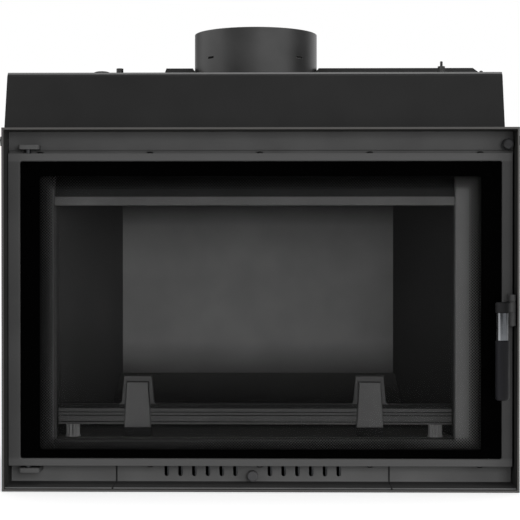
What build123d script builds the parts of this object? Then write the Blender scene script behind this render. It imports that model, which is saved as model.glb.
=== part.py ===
"""Fireplace insert: a welded steel fire chamber with a glass door, a slotted air panel,
a sloped smoke hood, a flue collar with a butterfly damper and a cast log guard.

Millimetres. +Z is up, the door faces -Y and +X is to the right of someone who faces it.
Depths are measured backwards from the front edge of the surround.
"""

from build123d import *
from math import atan, cos, radians, sin
import os

os.makedirs("parts", exist_ok=True)

# ------------------------------------------------------------------ driving dimensions
# Surround: the four-sided lip that the fireplace opening is finished against
FRAME_W = 710.0
FRAME_H = 500.0
FRAME_DEPTH = 70.0
FRAME_SHEET = 3.0
FRONT_WALL_T = 4.0

# Body behind it, narrower on the right so that the damper rod clears its side
BODY_DEPTH = 350.0
BODY_INSET_LEFT = 1.5
BODY_INSET_RIGHT = 18.5
BODY_SHEET = 4.0

# Hood
HOOD_SETBACK = 14.0
HOOD_H = 80.0
HOOD_RUN = 22.5
HOOD_BEVEL = 5.6
HOOD_TOP_FLANGE = 18.0

# Flue
COLLAR_R = 90.0
COLLAR_WALL = 3.0
COLLAR_RISE = 68.0
COLLAR_DROP = 46.0
COLLAR_DEPTH = 161.0
COLLAR_FLANGE = 10.0
COLLAR_FLANGE_T = 2.0
PIPE_ROOM = 3.0
TONGUE_RISE = 28.0
TONGUE_W = 12.0

# Door
DOOR_FACE = 27.0
DOOR_GAP_LEFT = 1.4
DOOR_GAP_RIGHT = 2.9
DOOR_BOTTOM = 31.6
DOOR_HEADROOM = 33.9
DOOR_RIM = 14.0
DOOR_LIP_T = 3.0
STILE_LEFT = 16.1
STILE_RIGHT = 14.3
RAIL_TOP = 10.7
RAIL_BOTTOM = 10.0
GLASS_LAP = 3.1
GLASS_LAP_SIDE = 5.0
GLASS_T = 4.0
GLASS_PLAY = 0.5
TAPE_T = 0.6
RETAINER_T = 3.0
ROPE_D = 11.0
ROPE_GAP = 0.3
ROPE_LIP_T = 2.0
ROPE_LIP_H = 4.5

# Fire opening
MOUTH_SIDE = 63.75
MOUTH_BOTTOM = 64.0
MOUTH_HEAD = 64.0
JAMB_LEG_LEFT = 14.0
JAMB_LEG_RIGHT = 49.0
JAMB_LEG_TOP = 20.0
JAMB_LEG_BOTTOM = 24.0
HEADER_DROP = 41.4
HEADER_H = 12.0
HEADER_FACE = 54.0
HEADER_SHEET = 2.5

# Lining
REVEAL_END = 95.0
LINER_TURN_IN = 65.25
SIDE_LINER_T = 10.0
BACK_LINER_T = 12.0
FLOOR_Z = 36.0
FLOOR_SHEET = 4.0
AIRWAY_L = 170.0
AIRWAY_W = 26.0
HEARTH_T = 26.0
RAMP_DEPTH = 84.0
RAMP_H = 69.0
RAMP_SHELF = 8.0
RAMP_HOLLOW_R = 150.0
BAFFLE_DROP = 31.0
BAFFLE_SLOPE = 0.114
BAFFLE_FRONT = 140.0
BAFFLE_T = 25.0
BAFFLE_BEARING = 5.0

# Log guard
GUARD_SHIFT = -1.8
GUARD_FRONT = 78.0
GUARD_T = 14.0
GUARD_H = 85.8
GUARD_WALL_GAP = 1.0
RAIL_LIFT = 17.5
RAIL_H = 28.4
POST_PITCH = 330.6
POST_T = 10.0
POST_TOP_W = 38.8
POST_FOOT_W = 45.0
POST_FLARE = 6.0
PAD_TOP_W = 31.7
PAD_FOOT_W = 39.1
PAD_PROUD = 6.0
PAD_BELOW_TOP = 7.1
PAD_BELOW_RAIL = 4.9
FOOT_INSET = 22.45
FOOT_R = 8.0
FOOT_RIBS = 10
FOOT_RIB_R = 2.1
FOOT_BASE_R = 11.5
FOOT_BASE_H = 5.0
FOOT_BASE_TAPER = 35.0

# Hinges
HINGE_INSET = 28.0
HINGE_BEHIND_FACE = 5.0
TAB_W = 29.0
TAB_T = 6.0
TAB_SHIFT = 2.5
TAB_REACH = 6.5
HINGE_RISE = 5.6
HINGE_DROP = 3.2
PIN_R = 3.5
PIN_COLLAR_R = 4.6
PIN_DEEP = 6.2
FIT = 0.05

# Door edge screws
DOOR_SCREW_INSET = 43.85
DOOR_SCREWS = 5
DOOR_SCREW_DEPTH = 33.0
DOOR_HEAD_R = 4.7
DOOR_HEAD_H = 2.7
BORE_END = 0.3

# Handle
BARREL_INSET = 5.8
BARREL_DEPTH = 8.0
BARREL_R = 4.5
BARREL_BOTTOM = 228.0
BARREL_TOP = 270.5
HANDLE_PIN_R = 2.25
KNUCKLE_GAP = 0.3
LEVER_BOTTOM = 247.4
LEVER_TOP = 261.0
LEVER_WAIST = 9.0
GRIP_OFFSET = 18.0
GRIP_REACH = 20.0
GRIP_R = 9.35
GRIP_BOTTOM = 128.1
FERRULE_R = 7.9
FERRULE_L = 38.2
TIE_R = 3.0
TIE_DEEP = 7.0
TIE_FOOT = 12.0
CLAW_T = 5.5
CLAW_WEB = 5.0
CLAW_H = 7.5
CLAW_CLEAR = 0.8
KEEPER_DEPTH = 16.0
KEEPER_R = 2.5
KEEPER_L = 7.0

# Lower fascia and air control
FASCIA_DEPTH = 58.0
FASCIA_SHEET = 2.0
FASCIA_TOP = 30.0
FASCIA_REACH = 52.0
FASCIA_JOINT = 0.5
AIR_CENTRE = -11.2
AIR_PANEL_W = 383.6
AIR_PANEL_TOP = 36.0
AIR_SLOT_W = 6.4
AIR_SLOT_BOTTOM = 12.7
AIR_SLOT_H = 17.3
AIR_SLOT_PITCH = 19.4
AIR_GROUP_GAP = 48.6
AIR_SLOTS = 6
AIR_KNOB_R = 7.6
AIR_KNOB_L = 12.0
AIR_KNOB_Z = 13.9
AIR_STEM_R = 2.5
AIR_OPEN_TRAVEL = 2.5
AIR_CLOSE_TRAVEL = 5.0
SLIDER_T = 1.5
SLIDER_BOTTOM = 9.0
SLIDER_TOP = 33.0
SLIDER_TRIM = 12.0
RAIL_LIP = 2.0
RAIL_SHEET = 1.6

# Upper face plate
FACE_DEPTH = 40.0
FACE_GAP = 3.9
FACE_SHEET = 2.5

# Damper and its pull rod
SPINDLE_RISE = 15.0
SPINDLE_END = 14.0
SHAFT_R = 4.0
RUNNING = 0.08
DISC_GAP = 2.0
DISC_T = 3.0
DISC_SCREW_PITCH = 90.0
DISC_SCREW_R = 2.0
DISC_HEAD_R = 4.0
DISC_HEAD_H = 3.0
CRANK_R = 30.0
CRANK_T = 3.0
CRANK_PIN_R = 3.0
YOKE_T = 3.0
YOKE_W = 20.0
YOKE_PLAY = 0.84
YOKE_LEAD = 0.58
YOKE_MARGIN = 8.0
ROD_INSET = 9.0
ROD_DROP = 21.5
ROD_TAIL = 296.0
ROD_IN_KNOB = 8.0
DAMPER_KNOB_FRONT = 20.0
DAMPER_KNOB_R = 7.5
DAMPER_KNOB_L = 14.0
BUSH_WALL = 1.5
BUSH_FLANGE_R = 8.0
BUSH_FLANGE_T = 2.5
BUSH_L = 4.0
GUIDE_DEPTHS = (100.0, 240.0)
GUIDE_T = 6.0
GUIDE_HALF = 8.5

# Side fasteners of the surround
SIDE_SCREW_DEPTH = 35.0
SIDE_SCREW_DROP = 16.6
SIDE_SCREW_R = 4.0
SIDE_WASHER_R = 13.9
SIDE_WASHER_T = 2.0
SIDE_HEAD_R = 7.5
SIDE_HEAD_H = 5.5

# Stiffeners and fittings on the hot top plate. The first size of each fitting is its distance
# from the body's nearer side, the second its depth.
STIFF_H = 19.0
STIFF_TOP_W = 22.0
STIFF_FOOT_W = 132.0
STIFF_SHEET = 2.0
STIFF_REACH_LEFT = 131.5
STIFF_INSET_RIGHT = 17.0
BOLT_PLACE = (150.5, 100.0)
BOLT_WASHER_R = 8.0
BOLT_WASHER_T = 2.0
BOLT_HEAD_R = 5.0
BOLT_TOP = 12.6
STUD_PLACE = (79.5, 86.0)
STUD_R = 2.0
STUD_H = 20.4
NUT_R = 5.2
NUT_H = 13.3
PLUG_PLACE = (124.8, 100.0)
PLUG_R = 14.0
PLUG_H = 8.6
PLUG_BEVEL = 4.3
RIVET_PLACE = (24.5, 75.0)
RIVET_R = 3.2
RIVET_H = 6.0

# Clearance between pieces that seat without a fit
SEAT = 0.3

# Sides of the small round shapes that repeat many times
ROUND_SIDES = 12

# ------------------------------------------------------------------ derived positions
FRONT_Y = -(BODY_DEPTH - GRIP_REACH - GRIP_R) / 2
FRAME_IN_X = FRAME_W / 2 - FRAME_SHEET
FRAME_IN_TOP = FRAME_H - FRAME_SHEET
FRONT_WALL = FRAME_DEPTH - FRONT_WALL_T
BODY_LEFT = BODY_INSET_LEFT - FRAME_W / 2
BODY_RIGHT = FRAME_W / 2 - BODY_INSET_RIGHT
BODY_CENTRE = (BODY_LEFT + BODY_RIGHT) / 2
BODY_W = BODY_RIGHT - BODY_LEFT
IN_LEFT = BODY_LEFT + BODY_SHEET
IN_RIGHT = BODY_RIGHT - BODY_SHEET
IN_BACK = BODY_DEPTH - BODY_SHEET
HOOD_TOP = FRAME_H + HOOD_H
HOOD_END = HOOD_SETBACK + HOOD_RUN + HOOD_BEVEL + HOOD_TOP_FLANGE
TOP_UNDER = HOOD_TOP - BODY_SHEET

DOOR_LEFT = DOOR_GAP_LEFT - FRAME_IN_X
DOOR_RIGHT = FRAME_IN_X - DOOR_GAP_RIGHT
DOOR_TOP = FRAME_H - DOOR_HEADROOM
DOOR_CENTRE = (DOOR_LEFT + DOOR_RIGHT) / 2
DOOR_SCREW_PITCH = (DOOR_RIGHT - DOOR_LEFT - 2 * DOOR_SCREW_INSET) / (DOOR_SCREWS - 1)
GLASS_FACE = DOOR_FACE + DOOR_LIP_T + TAPE_T
RETAINER_FACE = GLASS_FACE + GLASS_T + TAPE_T
RETAINER_BACK = RETAINER_FACE + RETAINER_T
JAMB_FACE = RETAINER_BACK + ROPE_D + 2 * ROPE_GAP

MOUTH_HALF = BODY_W / 2 - MOUTH_SIDE
MOUTH_TOP = FRAME_H - MOUTH_HEAD
HEADER_Z = MOUTH_TOP - HEADER_DROP
LINER_BACK_HALF = MOUTH_HALF - LINER_TURN_IN
FACE_BOTTOM = DOOR_TOP + FACE_GAP

# Rectangles seen from the front: left, right, bottom, top
MOUTH = (BODY_CENTRE - MOUTH_HALF, BODY_CENTRE + MOUTH_HALF, MOUTH_BOTTOM, MOUTH_TOP)
JAMB = (MOUTH[0] - JAMB_LEG_LEFT, MOUTH[1] + JAMB_LEG_RIGHT,
        MOUTH[2] - JAMB_LEG_BOTTOM, MOUTH[3] + JAMB_LEG_TOP)
WINDOW = (DOOR_LEFT + STILE_LEFT, DOOR_RIGHT - STILE_RIGHT,
          DOOR_BOTTOM + RAIL_BOTTOM, DOOR_TOP - RAIL_TOP)
REBATE = (WINDOW[0] - GLASS_LAP_SIDE, WINDOW[1] + GLASS_LAP_SIDE,
          WINDOW[2] - GLASS_LAP, WINDOW[3] + GLASS_LAP)
ROPE_EDGE = ROPE_D / 2 + 1.5
ROPE = (JAMB[0] + ROPE_EDGE, JAMB[1] - ROPE_EDGE - 1.5, JAMB[2] + ROPE_EDGE + 0.5, JAMB[3] - ROPE_EDGE - 2.0)

HINGE_X = HINGE_INSET - FRAME_IN_X
HINGE_DEPTH = DOOR_FACE + HINGE_BEHIND_FACE
UPPER_TAB_Z = DOOR_TOP + HINGE_RISE
LOWER_TAB_Z = DOOR_BOTTOM - HINGE_DROP - TAB_T
KEEPER_TIP = FRAME_IN_X - KEEPER_L
KEEPER_Z = (LEVER_BOTTOM + LEVER_TOP) / 2
BARREL_X = FRAME_IN_X - BARREL_INSET
GRIP_X = BARREL_X - GRIP_OFFSET
SIDE_SCREW_Z = FRAME_H - SIDE_SCREW_DROP

FLOOR_TOP = FLOOR_Z + FLOOR_SHEET
HEARTH_TOP = FLOOR_TOP + HEARTH_T
BACK_LINER = IN_BACK - BACK_LINER_T
SPLAY = (MOUTH_HALF - LINER_BACK_HALF) / (BACK_LINER - REVEAL_END)
BAFFLE_PLANE = Plane(
    origin=(BODY_CENTRE, FRONT_Y + BACK_LINER, MOUTH_TOP - BAFFLE_DROP),
    x_dir=(1, 0, 0),
    z_dir=(0, BAFFLE_SLOPE, 1),
)

PANEL_LEFT = AIR_CENTRE - AIR_PANEL_W / 2
PANEL_RIGHT = AIR_CENTRE + AIR_PANEL_W / 2
SLIDER_FACE = FASCIA_DEPTH + FASCIA_SHEET + SEAT
GROUP_SHIFT = AIR_GROUP_GAP / 2 + AIR_SLOT_PITCH * (AIR_SLOTS - 1) / 2

DISC_R = COLLAR_R - COLLAR_WALL - DISC_GAP
BUSH_R = SHAFT_R + BUSH_WALL
COLLAR_FOOT = TOP_UNDER - COLLAR_DROP
SPINDLE_Z = COLLAR_FOOT + SPINDLE_RISE
ROD_X = FRAME_IN_X - ROD_INSET
ROD_Z = FRAME_H - ROD_DROP
CRANK_X = BODY_RIGHT + BUSH_FLANGE_T + 1.0
YOKE_X = CRANK_X + CRANK_T + 1.0
CRANK_SIDE = CRANK_R * sin(radians(45))
KNOB_BACK = DAMPER_KNOB_FRONT + DAMPER_KNOB_L
TOP_BOLT = (BODY_LEFT + BOLT_PLACE[0], BOLT_PLACE[1])
TOP_PLUG = (BODY_LEFT + PLUG_PLACE[0], PLUG_PLACE[1])
TOP_STUD = (BODY_RIGHT - STUD_PLACE[0], STUD_PLACE[1])
TOP_RIVET = (BODY_RIGHT - RIVET_PLACE[0], RIVET_PLACE[1])
UP = (Align.CENTER, Align.CENTER, Align.MIN)


# ------------------------------------------------------------------ helpers
def back(depth):
    """Y of the plane this far behind the surround's front edge."""
    return FRONT_Y + depth


def facing(depth):
    """Sketch plane seen from the front, X to the right and Z up. A negative extrude goes back."""
    return Plane.XZ.offset(-back(depth))


def area(limits, grow=0.0, mode=Mode.ADD):
    """Rectangle between (low x, high x, low y, high y) of the sketch plane, grown all round."""
    x0, x1, y0, y1 = limits
    with Locations(((x0 + x1) / 2, (y0 + y1) / 2)):
        Rectangle(x1 - x0 + 2 * grow, y1 - y0 + 2 * grow, mode=mode)


def section(points):
    """Closed outline from (depth, height) pairs on a YZ sketch plane."""
    Polygon(*[(back(depth), height) for depth, height in points], align=None)


def plan(points):
    """Closed outline from (x, depth) pairs on an XY sketch plane."""
    Polygon(*[(x, back(depth)) for x, depth in points], align=None)


def disc(x, y, radius, mode=Mode.ADD):
    """Circle about a point of the sketch plane."""
    with Locations((x, y)):
        Circle(radius, mode=mode)


def post(x, depth, low, high, radius):
    """Upright round bar."""
    with Locations((x, back(depth), low)):
        Cylinder(radius, high - low, align=UP)


def inner_half(depth):
    """Half width between the faces of the side linings at a depth."""
    return MOUTH_HALF - max(0.0, depth - REVEAL_END) * SPLAY


def save(builder, name):
    """Label the finished piece and write it under its node name."""
    builder.part.label = name
    export_step(builder.part, f"parts/{name}.step")


# ------------------------------------------------------------------ surround
with BuildPart() as surround_frame:
    with BuildSketch(facing(0)):
        area((-FRAME_W / 2, FRAME_W / 2, 0, FRAME_H))
        area((-FRAME_IN_X, FRAME_IN_X, FRAME_SHEET, FRAME_IN_TOP), mode=Mode.SUBTRACT)
    extrude(amount=-FRAME_DEPTH)
    with BuildSketch(Plane.YZ.offset(-FRAME_W / 2)):
        disc(back(SIDE_SCREW_DEPTH), SIDE_SCREW_Z, SIDE_SCREW_R + FIT)
    extrude(amount=FRAME_W, mode=Mode.SUBTRACT)
save(surround_frame, "surround_frame")

with BuildPart() as side_screws:
    for side in (-1, 1):
        with BuildSketch(Plane.YZ.offset(side * FRAME_W / 2)):
            disc(back(SIDE_SCREW_DEPTH), SIDE_SCREW_Z, SIDE_WASHER_R)
        extrude(amount=side * SIDE_WASHER_T)
        with BuildSketch(Plane.YZ.offset(side * (FRAME_W / 2 + SIDE_WASHER_T))):
            with Locations((back(SIDE_SCREW_DEPTH), SIDE_SCREW_Z)):
                RegularPolygon(SIDE_HEAD_R, 6)
        extrude(amount=side * SIDE_HEAD_H)
        with BuildSketch(Plane.YZ.offset(side * FRAME_W / 2)):
            disc(back(SIDE_SCREW_DEPTH), SIDE_SCREW_Z, SIDE_SCREW_R)
        extrude(amount=side * (FIT - FRAME_SHEET))
save(side_screws, "side_screws")

# Peg in the surround's right side that the handle's claw hooks behind
with BuildPart() as latch_keeper:
    with BuildSketch(Plane.YZ.offset(KEEPER_TIP)):
        disc(back(KEEPER_DEPTH), KEEPER_Z, KEEPER_R)
    extrude(amount=KEEPER_L)
save(latch_keeper, "latch_keeper")

# ------------------------------------------------------------------ front wall and jamb
with BuildPart() as front_wall:
    with BuildSketch(facing(FRONT_WALL)):
        area((-FRAME_IN_X, FRAME_IN_X, FRAME_SHEET, FRAME_IN_TOP))
        area(MOUTH, mode=Mode.SUBTRACT)
        area((PANEL_LEFT, PANEL_RIGHT, SLIDER_BOTTOM, SLIDER_TOP), grow=-0.5, mode=Mode.SUBTRACT)
        disc(ROD_X, ROD_Z, SHAFT_R + 2.0, mode=Mode.SUBTRACT)
    extrude(amount=-FRONT_WALL_T)
save(front_wall, "front_wall")

with BuildPart() as jamb_frame:
    with BuildSketch(facing(JAMB_FACE)):
        area(JAMB)
        area(MOUTH, mode=Mode.SUBTRACT)
    extrude(amount=JAMB_FACE - FRONT_WALL)
    front_face = jamb_frame.faces().sort_by(Axis.Y)[0]
    chamfer(front_face.inner_wires()[0].edges(), length=1.5)
save(jamb_frame, "jamb_frame")

# Air wash header: a folded strip across the top of the fire opening, whose lip turns the
# air that comes down behind the front wall on to the glass
with BuildPart() as airwash_header:
    middle = HEADER_SHEET / 2
    with BuildSketch(Plane.YZ.offset(MOUTH[0])):
        with BuildLine():
            Polyline(
                (back(FRAME_DEPTH), HEADER_Z + middle),
                (back(HEADER_FACE) + middle, HEADER_Z + middle),
                (back(HEADER_FACE) + middle, HEADER_Z + HEADER_H),
                (back(FRAME_DEPTH) - middle, MOUTH_TOP),
            )
            offset(amount=middle)
        make_face()
        area((back(HEADER_FACE), back(FRAME_DEPTH), HEADER_Z, MOUTH_TOP), mode=Mode.INTERSECT)
    extrude(amount=2 * MOUTH_HALF)
save(airwash_header, "airwash_header")

# ------------------------------------------------------------------ upper face plate
with BuildPart() as upper_face_plate:
    with BuildSketch(Plane.YZ.offset(-FRAME_IN_X)) as profile:
        section([
            (FACE_DEPTH, FACE_BOTTOM),
            (FRONT_WALL, FACE_BOTTOM),
            (FRONT_WALL, FACE_BOTTOM + FACE_SHEET),
            (FACE_DEPTH + FACE_SHEET, FACE_BOTTOM + FACE_SHEET),
            (FACE_DEPTH + FACE_SHEET, FRAME_IN_TOP),
            (FACE_DEPTH, FRAME_IN_TOP),
        ])
        bend = profile.vertices().sort_by_distance((back(FACE_DEPTH), FACE_BOTTOM))[0]
        fillet(bend, radius=FACE_SHEET)
    extrude(amount=2 * FRAME_IN_X)
    with BuildSketch(facing(FACE_DEPTH)):
        disc(ROD_X, ROD_Z, BUSH_R + FIT)
    extrude(amount=-FACE_SHEET, mode=Mode.SUBTRACT)
save(upper_face_plate, "upper_face_plate")


# ------------------------------------------------------------------ lower fascia
def fascia_strip(left, right, top):
    """Folded strip: an upright face and a foot that runs forward over the surround's sheet."""
    foot = FRAME_SHEET
    with BuildSketch(Plane.YZ.offset(left)) as profile:
        section([
            (FASCIA_DEPTH + FASCIA_SHEET, foot),
            (FASCIA_DEPTH + FASCIA_SHEET, top),
            (FASCIA_DEPTH, top),
            (FASCIA_DEPTH, foot + FASCIA_SHEET),
            (FASCIA_DEPTH - FASCIA_REACH, foot + FASCIA_SHEET),
            (FASCIA_DEPTH - FASCIA_REACH, foot),
        ])
        bend = profile.vertices().sort_by_distance((back(FASCIA_DEPTH), foot + FASCIA_SHEET))[0]
        fillet(bend, radius=FASCIA_SHEET)
    extrude(profile.sketch, amount=right - left)


def air_slots(centre, rounded=True, mode=Mode.ADD):
    """Two groups of upright slots, one on each side of the knob."""
    with BuildSketch(mode=Mode.PRIVATE) as slot:
        if rounded:
            with GridLocations(0, AIR_SLOT_H - AIR_SLOT_W, 1, 2):
                RegularPolygon(AIR_SLOT_W / 2, ROUND_SIDES)
            make_hull()
        else:
            Rectangle(AIR_SLOT_W, AIR_SLOT_H)
    for side in (-1, 1):
        with Locations((centre + side * GROUP_SHIFT, AIR_SLOT_BOTTOM + AIR_SLOT_H / 2)):
            with GridLocations(AIR_SLOT_PITCH, 0, AIR_SLOTS, 1):
                add(slot.sketch, mode=mode)


with BuildPart() as fascia_left:
    fascia_strip(-FRAME_IN_X, PANEL_LEFT - FASCIA_JOINT, FASCIA_TOP)
save(fascia_left, "fascia_left")

with BuildPart() as fascia_right:
    fascia_strip(PANEL_RIGHT + FASCIA_JOINT, FRAME_IN_X, FASCIA_TOP)
save(fascia_right, "fascia_right")

with BuildPart() as air_panel:
    fascia_strip(PANEL_LEFT, PANEL_RIGHT, AIR_PANEL_TOP)
    with BuildSketch(facing(FASCIA_DEPTH)):
        air_slots(AIR_CENTRE)
        with Locations((AIR_CENTRE + (AIR_OPEN_TRAVEL - AIR_CLOSE_TRAVEL) / 2, AIR_KNOB_Z)):
            SlotCenterToCenter(AIR_OPEN_TRAVEL + AIR_CLOSE_TRAVEL, 2 * (AIR_STEM_R + SEAT))
    extrude(amount=-FASCIA_SHEET, mode=Mode.SUBTRACT)
save(air_panel, "air_panel")

# Sliding shutter behind the panel. At rest it stands a little to the left of fully open.
with BuildPart() as air_slider:
    shutter = AIR_CENTRE - AIR_OPEN_TRAVEL
    half = AIR_PANEL_W / 2 - SLIDER_TRIM
    with BuildSketch(facing(SLIDER_FACE)):
        area((shutter - half, shutter + half, SLIDER_BOTTOM, SLIDER_TOP))
        air_slots(shutter, rounded=False, mode=Mode.SUBTRACT)
    extrude(amount=-SLIDER_T)
save(air_slider, "air_slider")

with BuildPart() as air_knob:
    with BuildSketch(facing(FASCIA_DEPTH - SEAT)):
        disc(AIR_CENTRE, AIR_KNOB_Z, AIR_KNOB_R)
    extrude(amount=AIR_KNOB_L)
    chamfer(air_knob.faces().sort_by(Axis.Y)[0].edges(), length=1.5)
    with BuildSketch(facing(FASCIA_DEPTH - SEAT)):
        disc(AIR_CENTRE, AIR_KNOB_Z, AIR_STEM_R)
    extrude(amount=FASCIA_DEPTH - SEAT - SLIDER_FACE)
save(air_knob, "air_knob")

with BuildPart() as slider_rails:
    lip_face = SLIDER_FACE + SLIDER_T + SEAT
    panel_back = FASCIA_DEPTH + FASCIA_SHEET
    for edge, inward in ((SLIDER_BOTTOM, 1), (SLIDER_TOP, -1)):
        with BuildSketch(Plane.YZ.offset(PANEL_LEFT)):
            section([
                (panel_back, edge - inward * SEAT),
                (lip_face, edge - inward * SEAT),
                (lip_face, edge + inward * RAIL_LIP),
                (lip_face + RAIL_SHEET, edge + inward * RAIL_LIP),
                (lip_face + RAIL_SHEET, edge - inward * (SEAT + RAIL_SHEET)),
                (panel_back, edge - inward * (SEAT + RAIL_SHEET)),
            ])
        extrude(amount=AIR_PANEL_W)
save(slider_rails, "slider_rails")

# ------------------------------------------------------------------ casing and hood
with BuildPart() as hood_front:
    with BuildSketch(Plane.YZ.offset(BODY_LEFT)):
        with BuildLine():
            Polyline(
                (back(HOOD_SETBACK), FRAME_H),
                (back(HOOD_SETBACK + HOOD_RUN), HOOD_TOP - HOOD_BEVEL),
                (back(HOOD_SETBACK + HOOD_RUN + HOOD_BEVEL), HOOD_TOP),
                (back(HOOD_END), HOOD_TOP),
            )
            offset(amount=BODY_SHEET, side=Side.RIGHT)
        make_face()
        area((back(0), back(FRAME_DEPTH), FRAME_H, HOOD_TOP), mode=Mode.INTERSECT)
    extrude(amount=BODY_W)
save(hood_front, "hood_front")


def casing_side(left):
    """Side sheet: it steps forward above the surround to close the end of the hood."""
    with BuildSketch(Plane.YZ.offset(left)) as profile:
        section([
            (FRAME_DEPTH, BODY_SHEET),
            (IN_BACK, BODY_SHEET),
            (IN_BACK, TOP_UNDER),
            (HOOD_END - HOOD_TOP_FLANGE, TOP_UNDER),
            (HOOD_SETBACK, FRAME_H),
            (FRAME_DEPTH, FRAME_H),
        ])
    extrude(profile.sketch, amount=BODY_SHEET)
    add(hood_front.part, mode=Mode.SUBTRACT)


with BuildPart() as casing_left:
    casing_side(BODY_LEFT)
save(casing_left, "casing_left")

with BuildPart() as casing_right:
    casing_side(IN_RIGHT)
    with BuildSketch(Plane.YZ.offset(IN_RIGHT)):
        disc(back(COLLAR_DEPTH), SPINDLE_Z, BUSH_R + FIT)
    extrude(amount=BODY_SHEET, mode=Mode.SUBTRACT)
save(casing_right, "casing_right")

with BuildPart() as casing_back:
    with BuildSketch(facing(IN_BACK)):
        area((BODY_LEFT, BODY_RIGHT, BODY_SHEET, TOP_UNDER))
    extrude(amount=-BODY_SHEET)
save(casing_back, "casing_back")

with BuildPart() as casing_bottom:
    with BuildSketch(Plane.XY):
        area((BODY_LEFT, BODY_RIGHT, back(FRAME_DEPTH), back(BODY_DEPTH)))
    extrude(amount=BODY_SHEET)
save(casing_bottom, "casing_bottom")

with BuildPart() as top_plate:
    with BuildSketch(Plane.XY.offset(TOP_UNDER)):
        area((BODY_LEFT, BODY_RIGHT, back(HOOD_END), back(BODY_DEPTH)))
        disc(BODY_CENTRE, back(COLLAR_DEPTH), COLLAR_R + SEAT, mode=Mode.SUBTRACT)
    extrude(amount=BODY_SHEET)
save(top_plate, "top_plate")

# Flue collar: a tube that hangs into the hood, carried by a thin flange on the top plate.
# Four tongues pushed in from the wall can carry the rim of a flue liner.
with BuildPart() as flue_collar:
    with BuildSketch(Plane.XY.offset(COLLAR_FOOT)):
        disc(BODY_CENTRE, back(COLLAR_DEPTH), COLLAR_R)
        disc(BODY_CENTRE, back(COLLAR_DEPTH), COLLAR_R - COLLAR_WALL, mode=Mode.SUBTRACT)
    extrude(amount=HOOD_TOP + COLLAR_RISE - COLLAR_FOOT)
    with BuildSketch(Plane.XY.offset(HOOD_TOP)):
        disc(BODY_CENTRE, back(COLLAR_DEPTH), COLLAR_R + COLLAR_FLANGE)
        disc(BODY_CENTRE, back(COLLAR_DEPTH), COLLAR_R - COLLAR_WALL / 2, mode=Mode.SUBTRACT)
    extrude(amount=COLLAR_FLANGE_T)
    with Locations((BODY_CENTRE, back(COLLAR_DEPTH), HOOD_TOP + TONGUE_RISE)):
        with PolarLocations(COLLAR_R, 4, start_angle=45):
            Box(4 * COLLAR_WALL, TONGUE_W, COLLAR_WALL, mode=Mode.SUBTRACT)
    with Locations((BODY_CENTRE, back(COLLAR_DEPTH), HOOD_TOP + TONGUE_RISE + COLLAR_WALL)):
        with PolarLocations(COLLAR_R - 1.5 * COLLAR_WALL, 4, start_angle=45):
            Box(2 * COLLAR_WALL, TONGUE_W, COLLAR_WALL)
    with BuildSketch(Plane.YZ.offset(BODY_CENTRE - 2 * COLLAR_R)):
        disc(back(COLLAR_DEPTH), SPINDLE_Z, SHAFT_R + RUNNING)
    extrude(amount=4 * COLLAR_R, mode=Mode.SUBTRACT)
save(flue_collar, "flue_collar")


def stiffener(left, right):
    """Hat section along X that keeps the top plate flat and leaves room for the pipe round the collar."""
    foot = back(COLLAR_DEPTH) - STIFF_FOOT_W / 2
    top = back(COLLAR_DEPTH) - STIFF_TOP_W / 2
    foot_end = back(COLLAR_DEPTH) + STIFF_FOOT_W / 2
    top_end = back(COLLAR_DEPTH) + STIFF_TOP_W / 2
    with BuildSketch(Plane.YZ.offset(left)) as profile:
        with BuildLine():
            Polyline(
                (foot, HOOD_TOP),
                (top, HOOD_TOP + STIFF_H),
                (top_end, HOOD_TOP + STIFF_H),
                (foot_end, HOOD_TOP),
            )
            offset(amount=STIFF_SHEET, side=Side.RIGHT)
        make_face()
        area((foot, foot_end, HOOD_TOP, HOOD_TOP + STIFF_H), mode=Mode.INTERSECT)
    extrude(profile.sketch, amount=right - left)
    with Locations((BODY_CENTRE, back(COLLAR_DEPTH), HOOD_TOP)):
        Cylinder(COLLAR_R + PIPE_ROOM, 3 * STIFF_H, mode=Mode.SUBTRACT)
        Cylinder(COLLAR_R + COLLAR_FLANGE + SEAT, 2 * (COLLAR_FLANGE_T + SEAT), mode=Mode.SUBTRACT)


with BuildPart() as top_stiffener_left:
    stiffener(BODY_CENTRE - STIFF_REACH_LEFT, BODY_CENTRE)
save(top_stiffener_left, "top_stiffener_left")

with BuildPart() as top_stiffener_right:
    right_end = BODY_RIGHT - STIFF_INSET_RIGHT
    stiffener(BODY_CENTRE, right_end)
    sloped_end = Plane(origin=(right_end, back(COLLAR_DEPTH), HOOD_TOP), z_dir=(2, 0, 1))
    split(bisect_by=sloped_end, keep=Keep.BOTTOM)
save(top_stiffener_right, "top_stiffener_right")

# Fittings on the top plate
with BuildPart() as top_hex_bolt:
    post(*TOP_BOLT, HOOD_TOP, HOOD_TOP + BOLT_WASHER_T, BOLT_WASHER_R)
    with BuildSketch(Plane.XY.offset(HOOD_TOP + BOLT_WASHER_T)):
        with Locations((TOP_BOLT[0], back(TOP_BOLT[1]))):
            RegularPolygon(BOLT_HEAD_R, 6)
    extrude(amount=BOLT_TOP - BOLT_WASHER_T)
save(top_hex_bolt, "top_hex_bolt")

with BuildPart() as top_stud:
    post(*TOP_STUD, HOOD_TOP, HOOD_TOP + STUD_H, STUD_R)
save(top_stud, "top_stud")

with BuildPart() as top_stud_nut:
    with BuildSketch(Plane.XY.offset(HOOD_TOP)):
        with Locations((TOP_STUD[0], back(TOP_STUD[1]))):
            RegularPolygon(NUT_R, 6)
            Circle(STUD_R + FIT, mode=Mode.SUBTRACT)
    extrude(amount=NUT_H)
save(top_stud_nut, "top_stud_nut")

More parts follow.
